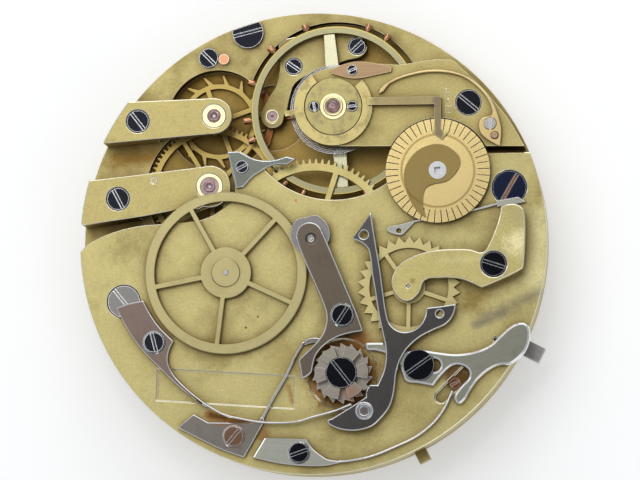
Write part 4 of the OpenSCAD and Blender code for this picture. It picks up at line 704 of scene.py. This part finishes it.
class PlatesOperator(MovementOperator, bpy.types.Operator):
    """Finish the plate, the bridge and the cocks"""

    bl_idname = "movement.plates"
    bl_label = "Plates and Cocks"

    def execute(self, context):
        finish = self.finish(context)
        old, rust = finish.old_gilt, finish.rust
        smear = (0.13, 0.12, 0.11)
        scorched = (0.1, 0.045, 0.02)
        # In each list of stains: place or two ends, radius and softness in mm, colour, share
        bridge_stains = [
            ((-2.5, -10.8), 2.6, 2.2, old, 0.55),
            ((9.2, -15.4), 2.8, 2.2, old, 0.45),
            ((6.2, -3.2), 4.2, 2.5, old, 0.3),
            ((14.6, -5.6), 1.9, 1.5, (0.24, 0.16, 0.04), 0.75),
            # Painted highlight: a pale patch along the bridge's right edge.
            ((20.8, 1.5, 20.4, -3.5), 2.4, 2.4, (0.74, 0.67, 0.35), 0.75),
            (COLUMN_CENTRE, 3.5, 0.7, rust, 0.75),
            ((0.9, -10.7, 3.9, -9.5), 1.3, 0.6, scorched, 0.9),
            ((0.2, -11.8, 0.3, -12.6), 0.7, 0.5, scorched, 0.7),
            ((1.2, -14.7, 5.4, -14.9), 0.5, 0.4, scorched, 0.8),
            ((4.6, -9.3), 1.3, 0.6, rust, 0.6),
            ((15.2, -7.7, 20.8, -5.0), 0.8, 1.3, smear, 0.85),
            ((15.0, -8.0, 17.6, -6.9), 0.6, 1.0, smear, 0.5),
            ((18.4, -10.6, 20.6, -9.2), 0.8, 0.9, smear, 0.7),
            ((13.2, -12.6), 1.6, 0.8, scorched, 0.85),
            ((15.3, -11.9), 0.9, 0.8, smear, 0.8),
            ((-4.6, -17.7), 0.9, 0.4, rust, 0.6),
            ((-9.6, -16.0, -6.4, -16.7), 0.55, 0.3, rust, 0.85),
            ((-9.3, -16.0, -8.0, -16.3), 0.3, 0.2, scorched, 0.8),
            ((-2.2, -13.4, -1.8, -14.8), 0.35, 0.3, rust, 0.6),
            ((-14.2, -12.6, -14.2, -14.2), 0.2, 0.3, rust, 0.45),
            ((-1.5, 3.7), 0.16, 0.05, (0.45, 0.2, 0.09), 0.95),
            ((-5.0, -7.0), 0.12, 0.05, scorched, 0.8),
            ((-6.1, -8.0), 0.12, 0.05, scorched, 0.8),
        ]
        plate_stains = [
            ((-18.6, 7.9, -12.5, 8.6), 1.2, 1.0, (0.26, 0.145, 0.03), 0.85),
            ((-12.0, 17.6, -5.5, 18.0), 0.5, 1.4, (0.3, 0.22, 0.09), 0.4),
            ((-5.3, 18.3), 0.5, 0.8, scorched, 0.5),
        ]
        pale = (0.85, 0.76, 0.42)
        aged_stains = [
            # Painted highlight: a pale patch at the cock's right end.
            ((18.9, -0.6), 1.6, 1.2, pale, 0.8),
            ((12.0, -2.2, 15.5, -2.0), 0.5, 0.9, pale, 0.35),
            ((9.3, -4.0), 0.35, 0.3, scorched, 0.5),
        ]
        cock_gilt = (0.475, 0.395, 0.16)
        bevel = bright_bevel("Gilt bevel", (0.97, 0.92, 0.7))
        bridge = frosted_gilt("Frosted bridge", finish.gilt, old, stains=bridge_stains)
        plate = frosted_gilt(
            "Frosted plate",
            (0.45, 0.375, 0.155),
            old,
            patches=220.0,
            start=0.47,
            stains=plate_stains,
            shaded_wells=True,
        )
        cock = frosted_gilt("Frosted cock", cock_gilt, old, start=0.55)
        # The balance cock takes a wider painted highlight along its edges.
        broad = frosted_gilt(
            "Frosted balance cock", cock_gilt, old, start=0.55, edge_width=0.16 * MM
        )
        aged = frosted_gilt(
            "Aged cock",
            (0.53, 0.45, 0.18),
            (0.46, 0.4, 0.22),
            patches=260.0,
            start=0.5,
            stains=aged_stains,
        )
        wear("main_plate", plate, width=0.05 * MM)
        wear("three_quarter_bridge", bridge, bevel, 0.07 * MM, flat=True)
        wear("escape_cock", cock, bevel, 0.09 * MM, flat=True)
        wear("fourth_cock", cock, bevel, 0.09 * MM, flat=True)
        wear("balance_cock", broad, bevel, 0.03 * MM)
        wear("pallet_cock", plate, bevel, 0.06 * MM, flat=True)
        wear("minute_counter_cock", aged, bevel, 0.12 * MM, flat=True)
        return {"FINISHED"}


class TrainOperator(MovementOperator, bpy.types.Operator):
    """Finish the barrel, the going train and the motion work"""

    bl_idname = "movement.train"
    bl_label = "Going Train"

    def execute(self, context):
        finish = self.finish(context)
        wheel = turned_brass("Wheel brass", finish.brass, finish.old_gilt)
        dim = turned_brass("Dim wheel brass", (0.4, 0.29, 0.09), finish.old_gilt, amount=0.5)
        arbor = satin_steel("Arbor steel", (0.3, 0.3, 0.3), roughness=0.2)
        # The colour of the fork's painted edge highlight.
        rusty_edge_highlight = (0.4, 0.2, 0.08)
        fork = satin_steel("Rusty fork steel", (0.17, 0.065, 0.02), angle=0.8, edge=rusty_edge_highlight)
        for name in (
            "barrel_drum",
            "barrel_cover",
            "centre_wheel",
            "third_wheel",
            "minute_wheel",
            "hour_wheel",
        ):
            wear(name, wheel, width=0.015 * MM, segments=1)
        for name in ("fourth_wheel", "escape_wheel"):
            wear(name, dim, width=0.015 * MM, segments=1)
        for name in (
            "mainspring",
            "barrel_arbor",
            "centre_arbor",
            "cannon_pinion",
            "third_arbor",
            "fourth_arbor",
            "escape_arbor",
        ):
            wear(name, arbor, width=0.01 * MM, segments=1)
        wear("pallet_fork", fork, width=0.01 * MM, segments=1)
        return {"FINISHED"}


class WindingOperator(MovementOperator, bpy.types.Operator):
    """Finish the winding and hand setting work"""

    bl_idname = "movement.winding"
    bl_label = "Winding Work"

    def execute(self, context):
        finish = self.finish(context)
        steel = satin_steel("Winding steel", finish.steel, angle=0.5)
        worn_and_highlight = satin_steel("Stem steel", (0.3, 0.29, 0.27), angle=0.46, roughness=0.35)
        for name in (
            "ratchet_wheel",
            "click",
            "click_spring",
            "transfer_wheel",
            "crown_wheel",
            "winding_pinion",
            "sliding_pinion",
            "setting_lever",
        ):
            wear(name, steel, width=0.02 * MM, segments=1)
        wear("winding_stem", worn_and_highlight, width=0.05 * MM)
        return {"FINISHED"}


class BalanceOperator(MovementOperator, bpy.types.Operator):
    """Finish the balance and the regulator"""

    bl_idname = "movement.balance"
    bl_label = "Balance and Regulator"

    def execute(self, context):
        finish = self.finish(context)
        grime = (0.17, 0.135, 0.085)
        index_stains = [
            ((5.0, 9.6, 6.2, 14.0), 0.5, 0.7, grime, 0.6),
            ((-0.5, 15.0, 2.6, 16.0), 0.3, 0.5, grime, 0.5),
            ((6.2, 12.7, 11.6, 12.7), 0.75, 0.3, (0.24, 0.185, 0.1), 0.8),
            ((11.6, 12.6, 11.7, 9.5), 0.6, 0.35, grime, 0.9),
        ]
        cap_stains = [
            ((0.6, 14.0, 3.6, 13.6), 0.3, 0.6, grime, 0.55),
            ((3.6, 11.2), 0.5, 0.5, grime, 0.5),
        ]
        rim = balance_material(
            "Balance rim", (0.5, 0.48, 0.32), (0.28, 0.255, 0.14), (0.44, 0.34, 0.1)
        )
        copper = polished_screw(
            "Rim screw copper", finish.copper, roughness=0.22, edge=(0.8, 0.55, 0.35)
        )
        staff = satin_steel("Staff steel", (0.35, 0.35, 0.35), roughness=0.18)
        stud = polished_screw(
            "Stud copper", (0.3, 0.2, 0.11), roughness=0.3, edge=(0.7, 0.52, 0.32)
        )
        index = turned_brass(
            "Index brass",
            (0.47, 0.39, 0.16),
            (0.2, 0.16, 0.08),
            roughness=0.3,
            amount=0.7,
            patches=900.0,
            stains=index_stains,
        )
        cap = turned_brass(
            "Cap plate brass",
            (0.36, 0.305, 0.125),
            grime,
            roughness=0.28,
            amount=0.7,
            patches=800.0,
            stains=cap_stains,
        )
        snail = snail_material("Snail disc gold", (0.6, 0.465, 0.2), (0.29, 0.21, 0.074))
        wear("balance_wheel", rim, width=0.03 * MM)
        wear("balance_screws", copper, width=0.03 * MM)
        wear("balance_staff", staff, width=0.02 * MM, segments=1)
        wear("hairspring_stud", stud, width=0.03 * MM)
        wear("regulator_index", index, width=0.04 * MM)
        wear("cap_jewel_plate", cap, width=0.05 * MM)
        wear("snail_disc", snail, width=0.03 * MM)
        wear("snail_post", satin_steel("Post steel", (0.5, 0.5, 0.5)), width=0.03 * MM)
        return {"FINISHED"}


class ChronographOperator(MovementOperator, bpy.types.Operator):
    """Finish the wheels, levers and hammer of the stopwatch work"""

    bl_idname = "movement.chronograph"
    bl_label = "Chronograph Work"

    def execute(self, context):
        finish = self.finish(context)
        bevel = bright_bevel("Polished bevel")
        slim = 0.8
        # Node, material, colour, brushing angle, roughness, share of the bevel's width
        for name, title, colour, angle, roughness, share in (
            # Painted reflections: the dark colours of the coupling lever and hammer stand for dark
            # surroundings mirrored in them; the operating lever's paler colour stands for bright
            # ones.
            ("coupling_lever", "Brown steel", finish.brown_steel, 1.15, 0.33, 1),
            ("hammer_spring", "Purplish steel", (0.18, 0.132, 0.108), 1.0, 0.33, slim),
            ("hammer", "Dark polished steel", finish.dark_steel, 1.4, 0.2, 1),
            ("operating_lever", "Bright lever steel", (0.26, 0.26, 0.2), -0.3, 0.3, 2),
            ("guard_finger", "Guard steel", (0.13, 0.14, 0.12), 0.4, 0.24, 0.9),
        ):
            steel = satin_steel(title, colour, angle, roughness)
            wear(name, steel, bevel, finish.bevel_width * share, flat=True)
        rusty = [
            ((-7.15, -18.0), 1.2, 0.4, (0.2, 0.08, 0.03), 0.75),
            ((-8.4, -16.7), 0.5, 0.4, finish.rust, 0.7),
        ]
        grey = satin_steel(
            "Grey steel", (0.18, 0.165, 0.14), angle=0.7, roughness=0.3, stains=rusty
        )
        wear("column_jumper", grey, bevel, finish.bevel_width * slim, flat=True)
        spring = satin_steel("Spring steel", (0.35, 0.35, 0.29), angle=0.1, roughness=0.3)
        wear("operating_spring", spring, bevel, finish.bevel_width * slim, flat=True)
        wear("counter_jumper", spring, bevel, 0.04 * MM, flat=True)
        wear("runner_arbor", spring, width=0.01 * MM, segments=1)
        column = satin_steel(
            "Column steel",
            (0.3, 0.27, 0.22),
            angle=0.3,
            roughness=0.26,
            edge=(0.6, 0.56, 0.5),
            stains=[((3.6, -14.2), 1.2, 0.6, (0.32, 0.16, 0.1), 0.6)],
        )
        wear("column_wheel", column, width=0.05 * MM)
        heart = satin_steel("Heart steel", (0.2, 0.19, 0.18), angle=0.9, roughness=0.3)
        wear("runner_heart", heart, bevel, 0.03 * MM)
        driving = turned_brass(
            "Driving wheel brass", (0.43, 0.37, 0.175), (0.27, 0.2, 0.08), roughness=0.36
        )
        wear("driving_wheel", driving, width=0.05 * MM)
        counter = turned_brass("Counter wheel brass", (0.52, 0.44, 0.2), (0.3, 0.22, 0.09))
        wear("counter_wheel", counter, width=0.03 * MM)
        gold = turned_brass(
            "Index spring brass", (0.55, 0.42, 0.19), (0.3, 0.2, 0.07), roughness=0.3
        )
        gold_bevel = bright_bevel("Spring bevel", (0.85, 0.68, 0.38))
        wear("index_spring", gold, gold_bevel, 0.05 * MM, flat=True)
        return {"FINISHED"}


class ScrewsOperator(MovementOperator, bpy.types.Operator):
    """Finish the screws, pins and jewels"""

    bl_idname = "movement.screws"
    bl_label = "Screws and Jewels"

    def execute(self, context):
        finish = self.finish(context)
        frame_stains = [
            ((18.1, 4.66), 2.4, 0.4, (0.02, 0.028, 0.06), 0.9),
            ((17.5, 3.6, 18.7, 5.7), 0.28, 0.2, (0.33, 0.15, 0.07), 0.9),
            ((-17.4, -5.53), 3.0, 0.4, (0.15, 0.145, 0.135), 0.95),
            ((13.06, -13.2), 0.8, 0.2, finish.rust, 0.9),
        ]
        work_stains = [
            ((-7.15, -18.0), 1.6, 0.5, (0.25, 0.14, 0.08), 0.85),
            ((4.85, -15.75), 0.5, 0.1, (0.24, 0.2, 0.17), 0.95),
            ((-8.5, 17.25), 0.7, 0.1, finish.copper, 0.95),
            ((16.8, 9.4), 0.4, 0.1, (0.5, 0.33, 0.18), 0.95),
            ((-14.66, 5.68), 0.5, 0.1, (0.3, 0.25, 0.1), 1.0),
            ((16.4, 10.48), 0.7, 0.1, (0.5, 0.48, 0.42), 0.9),
        ]
        frame_screw = polished_screw("Frame screw steel", finish.blued, frame_stains)
        work_screw = polished_screw("Work screw steel", finish.blued, work_stains)
        ruby = jewel_material("Pink jewel", finish.ruby)
        gold = turned_brass(
            "Setting gold", (0.76, 0.67, 0.38), (0.5, 0.4, 0.2), roughness=0.2
        )
        wear("frame_screws", frame_screw, width=0.06 * MM)
        wear("work_screws", work_screw, width=0.06 * MM)
        wear("jewels", ruby, width=0.06 * MM, segments=3)
        wear("pallet_stones", ruby, width=0.01 * MM, segments=1)
        wear("jewel_settings", gold, width=0.05 * MM, segments=3)
        return {"FINISHED"}


def add_piece(name, points, faces, material):
    """Adds a mesh piece that rides on the frame, from points in metres."""
    mesh = bpy.data.meshes.new(name)
    mesh.from_pydata(points, [], faces)
    mesh.materials.append(material)
    piece = bpy.data.objects.new(name, mesh)
    bpy.context.scene.collection.objects.link(piece)
    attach(piece, "frame")
    return piece


def lathe(name, centre, base, profile, material):
    """A smooth turned piece about an upright axis, with its profile in mm over a base height."""
    count = len(profile)
    points = []
    faces = []
    for k in range(TURN_STEPS):
        turn = 2 * math.pi * k / TURN_STEPS
        for radius, height in profile:
            x = centre[0] + radius * math.cos(turn)
            y = centre[1] + radius * math.sin(turn)
            points.append((x * MM, y * MM, base + height * MM))
        here, there = k * count, (k + 1) % TURN_STEPS * count
        for i in range(count):
            after = (i + 1) % count
            faces.append((here + i, there + i, there + after, here + after))
    piece = add_piece(name, points, faces, material)
    piece.data.polygons.foreach_set("use_smooth", [True] * len(faces))


def top_near(name, centre, reach):
    """The highest point of a CAD node within a reach in mm of a place seen from above."""
    found = [
        vertex.co.z
        for vertex in NODES[name].data.vertices
        if math.hypot(vertex.co.x - centre[0] * MM, vertex.co.y - centre[1] * MM) < reach * MM
    ]
    if not found:
        raise RuntimeError(f"{name} has no point near {centre}")
    return max(found)


class JewelsOperator(MovementOperator, bpy.types.Operator):
    """Add the domes and cups of the jewels and the bead of the cap jewel's setting"""

    bl_idname = "movement.jewels"
    bl_label = "Jewel Domes and Beads"

    def execute(self, context):
        ruby = bpy.data.materials["Pink jewel"]
        gold = bpy.data.materials["Setting gold"]
        stone_reach, setting_reach = 0.7, 1.3
        cap_top = top_near("jewels", BALANCE_CENTRE, stone_reach)
        lathe("cap_jewel_dome", BALANCE_CENTRE, cap_top, CAP_DOME, ruby)
        setting_top = top_near("jewel_settings", BALANCE_CENTRE, setting_reach)
        lathe("cap_jewel_bead", BALANCE_CENTRE, setting_top, CAP_BEAD, gold)
        for name, centre in TRAIN_JEWELS.items():
            stone_top = top_near("jewels", centre, stone_reach)
            lathe(f"{name}_jewel_cup", centre, stone_top, JEWEL_CUP, ruby)
        return {"FINISHED"}


class HairspringOperator(MovementOperator, bpy.types.Operator):
    """Wind the hairspring with its full number of close turns"""

    bl_idname = "movement.hairspring"
    bl_label = "Hairspring"

    def execute(self, context):
        low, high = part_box("hairspring")
        inner, outer, half_strip = 0.95, 4.2, 0.03
        turns, start = 14, math.radians(60)
        even_share = 0.55
        steps = turns * TURN_STEPS
        corners = (
            (-half_strip, low.z),
            (half_strip, low.z),
            (half_strip, high.z),
            (-half_strip, high.z),
        )
        count = len(corners)
        points = []
        for i in range(steps + 1):
            share = i / steps
            spread = even_share * share + (1 - even_share) * (1 - (1 - share) ** 2)
            radius = inner + (outer - inner) * spread
            turn = start + 2 * math.pi * turns * share
            for reach, level in corners:
                x = BALANCE_CENTRE[0] + (radius + reach) * math.cos(turn)
                y = BALANCE_CENTRE[1] + (radius + reach) * math.sin(turn)
                points.append((x * MM, y * MM, level))
        # The two cut ends of the strip, then its four sides
        faces = [(3, 2, 1, 0), tuple(steps * count + k for k in range(count))]
        for i in range(steps):
            here, there = i * count, (i + 1) * count
            for k in range(count):
                after = (k + 1) % count
                faces.append((here + k, here + after, there + after, there + k))
        steel = satin_steel("Hairspring steel", (0.05, 0.055, 0.07), roughness=0.25)
        piece = add_piece("wound_hairspring", points, faces, steel)
        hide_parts("hairspring")
        return {"FINISHED"}


class StageOperator(MovementOperator, bpy.types.Operator):
    """Make the floor, the lamps, the world and the camera"""

    bl_idname = "movement.stage"
    bl_label = "Floor, Lamps and Camera"

    def execute(self, context):
        stage = context.scene.movement_stage
        self.make_floor(context, stage)
        self.make_lamps(context, stage)
        self.make_world(context, stage)
        self.make_camera(context, stage)
        context.scene.view_settings.view_transform = "Standard"
        return {"FINISHED"}

    @staticmethod
    def make_floor(context, stage):
        """A wide pale floor just under the lowest arbor."""
        half, gap = 0.5, 0.05 * MM
        cloud_shade = 0.96
        level = CAD_BOX[0][2] - gap
        mesh = bpy.data.meshes.new("Floor")
        corners = [(x * half, y * half, level) for x, y in ((-1, -1), (1, -1), (1, 1), (-1, 1))]
        mesh.from_pydata(corners, [], [(0, 1, 2, 3)])
        floor = bpy.data.objects.new("Floor", mesh)
        context.scene.collection.objects.link(floor)
        material, tree, shader = start_material("Floor paper", metallic=0.0, roughness=0.7)
        cloud = effect(tree, "patina", Patches=8.0, Start=0.45, Amount=0.25)["Mask"]
        paper = stage.floor_colour
        duller = tuple(channel * cloud_shade for channel in paper)
        feed(tree, shader.inputs["Base Color"], mix_colour(tree, cloud, paper, duller))
        path = make_node(tree, "ShaderNodeLightPath").outputs
        mirrored = math_node(tree, "MAXIMUM", path["Is Glossy Ray"], path["Is Transmission Ray"])
        seen = math_node(tree, "MAXIMUM", path["Is Camera Ray"], mirrored)
        glow = mix_colour(tree, seen, (0, 0, 0), WHITE)
        feed(tree, shader.inputs["Emission Color"], glow)
        set_inputs(shader, Emission_Strength=stage.floor_glow)
        mesh.materials.append(material)

    @staticmethod
    def make_lamps(context, stage):
        """A large lamp above, others behind and in front, and a small one for glints."""
        # Name, place, size, share of the key lamp's power
        for name, place, size, share in (
            ("Key lamp", (-0.12, 0.12, 0.34), 0.26, 1),
            ("Rear lamp", (0.1, 0.3, 0.2), 0.3, 0.5),
            ("Low rear lamp", (-0.05, 0.45, 0.12), 0.36, 2.2),
            ("Glint lamp", (0.0, 0.1, 0.3), 0.02, 0.06),
            ("Front lamp", (0.2, -0.26, 0.22), 0.2, 0.35),
        ):
            data = bpy.data.lights.new(name, "AREA")
            data.size = size
            data.energy = stage.key_power * share
            lamp = bpy.data.objects.new(name, data)
            lamp.location = place
            lamp.rotation_euler = (-Vector(place)).to_track_quat("-Z", "Y").to_euler()
            context.scene.collection.objects.link(lamp)

    @staticmethod
    def make_world(context, stage):
        """Even light from all round, white where the camera looks past the floor."""
        daylight = (0.9, 0.93, 1.0)
        world = bpy.data.worlds.new("Studio")
        world.use_nodes = True
        tree = world.node_tree
        background = tree.nodes["Background"].inputs
        seen = make_node(tree, "ShaderNodeLightPath").outputs["Is Camera Ray"]
        feed(tree, background["Color"], mix_colour(tree, seen, daylight, WHITE))
        lift = math_node(tree, "MULTIPLY", seen, 1.0 - stage.world_level)
        feed(tree, background["Strength"], math_node(tree, "ADD", lift, stage.world_level))
        context.scene.world = world

    @staticmethod
    def make_camera(context, stage):
        """A long lens near straight above, leaning a little to the right and to the front."""
        data = bpy.data.cameras.new("Camera")
        data.sensor_width = 36
        pixels_per_metre = stage.pixel_scale / MM
        data.lens = pixels_per_metre * stage.camera_distance * data.sensor_width / PICTURE_WIDTH
        data.clip_end = 10
        camera = bpy.data.objects.new("Camera", data)
        back = Vector((math.tan(stage.tilt_east), -math.tan(stage.tilt_south), 1)).normalized()
        right = Vector((0, 1, 0)).cross(back).normalized()
        up = back.cross(right)
        aim = Vector((stage.aim_x, stage.aim_y, BRIDGE_TOP * MM))
        camera.location = aim + back * stage.camera_distance
        camera.rotation_euler = Matrix((right, up, back)).transposed().to_euler()
        context.scene.collection.objects.link(camera)
        context.scene.camera = camera


OPERATORS = (
    PlatesOperator,
    TrainOperator,
    WindingOperator,
    BalanceOperator,
    ChronographOperator,
    ScrewsOperator,
    JewelsOperator,
    HairspringOperator,
    StageOperator,
)


class MovementPanel(bpy.types.Panel):
    """Lists the steps that dress the movement"""

    bl_idname = "VIEW3D_PT_movement"
    bl_label = "Movement"
    bl_space_type = "VIEW_3D"
    bl_region_type = "UI"
    bl_category = "Movement"

    def draw(self, context):
        for operator in OPERATORS:
            self.layout.operator(operator.bl_idname)


CLASSES = (FinishSettings, StageSettings, *OPERATORS, MovementPanel)


def register():
    """Registers the classes and the scene's settings."""
    for item in CLASSES:
        bpy.utils.register_class(item)
    bpy.types.Scene.movement_finish = PointerProperty(type=FinishSettings)
    bpy.types.Scene.movement_stage = PointerProperty(type=StageSettings)


def unregister():
    """Removes the settings and the classes."""
    del bpy.types.Scene.movement_stage
    del bpy.types.Scene.movement_finish
    for item in reversed(CLASSES):
        bpy.utils.unregister_class(item)


def main():
    """Dresses the whole movement."""
    register()
    bpy.ops.movement.plates()
    bpy.ops.movement.train()
    bpy.ops.movement.winding()
    bpy.ops.movement.balance()
    bpy.ops.movement.chronograph()
    bpy.ops.movement.screws()
    bpy.ops.movement.jewels()
    bpy.ops.movement.hairspring()
    bpy.ops.movement.stage()


if __name__ == "__main__":
    main()
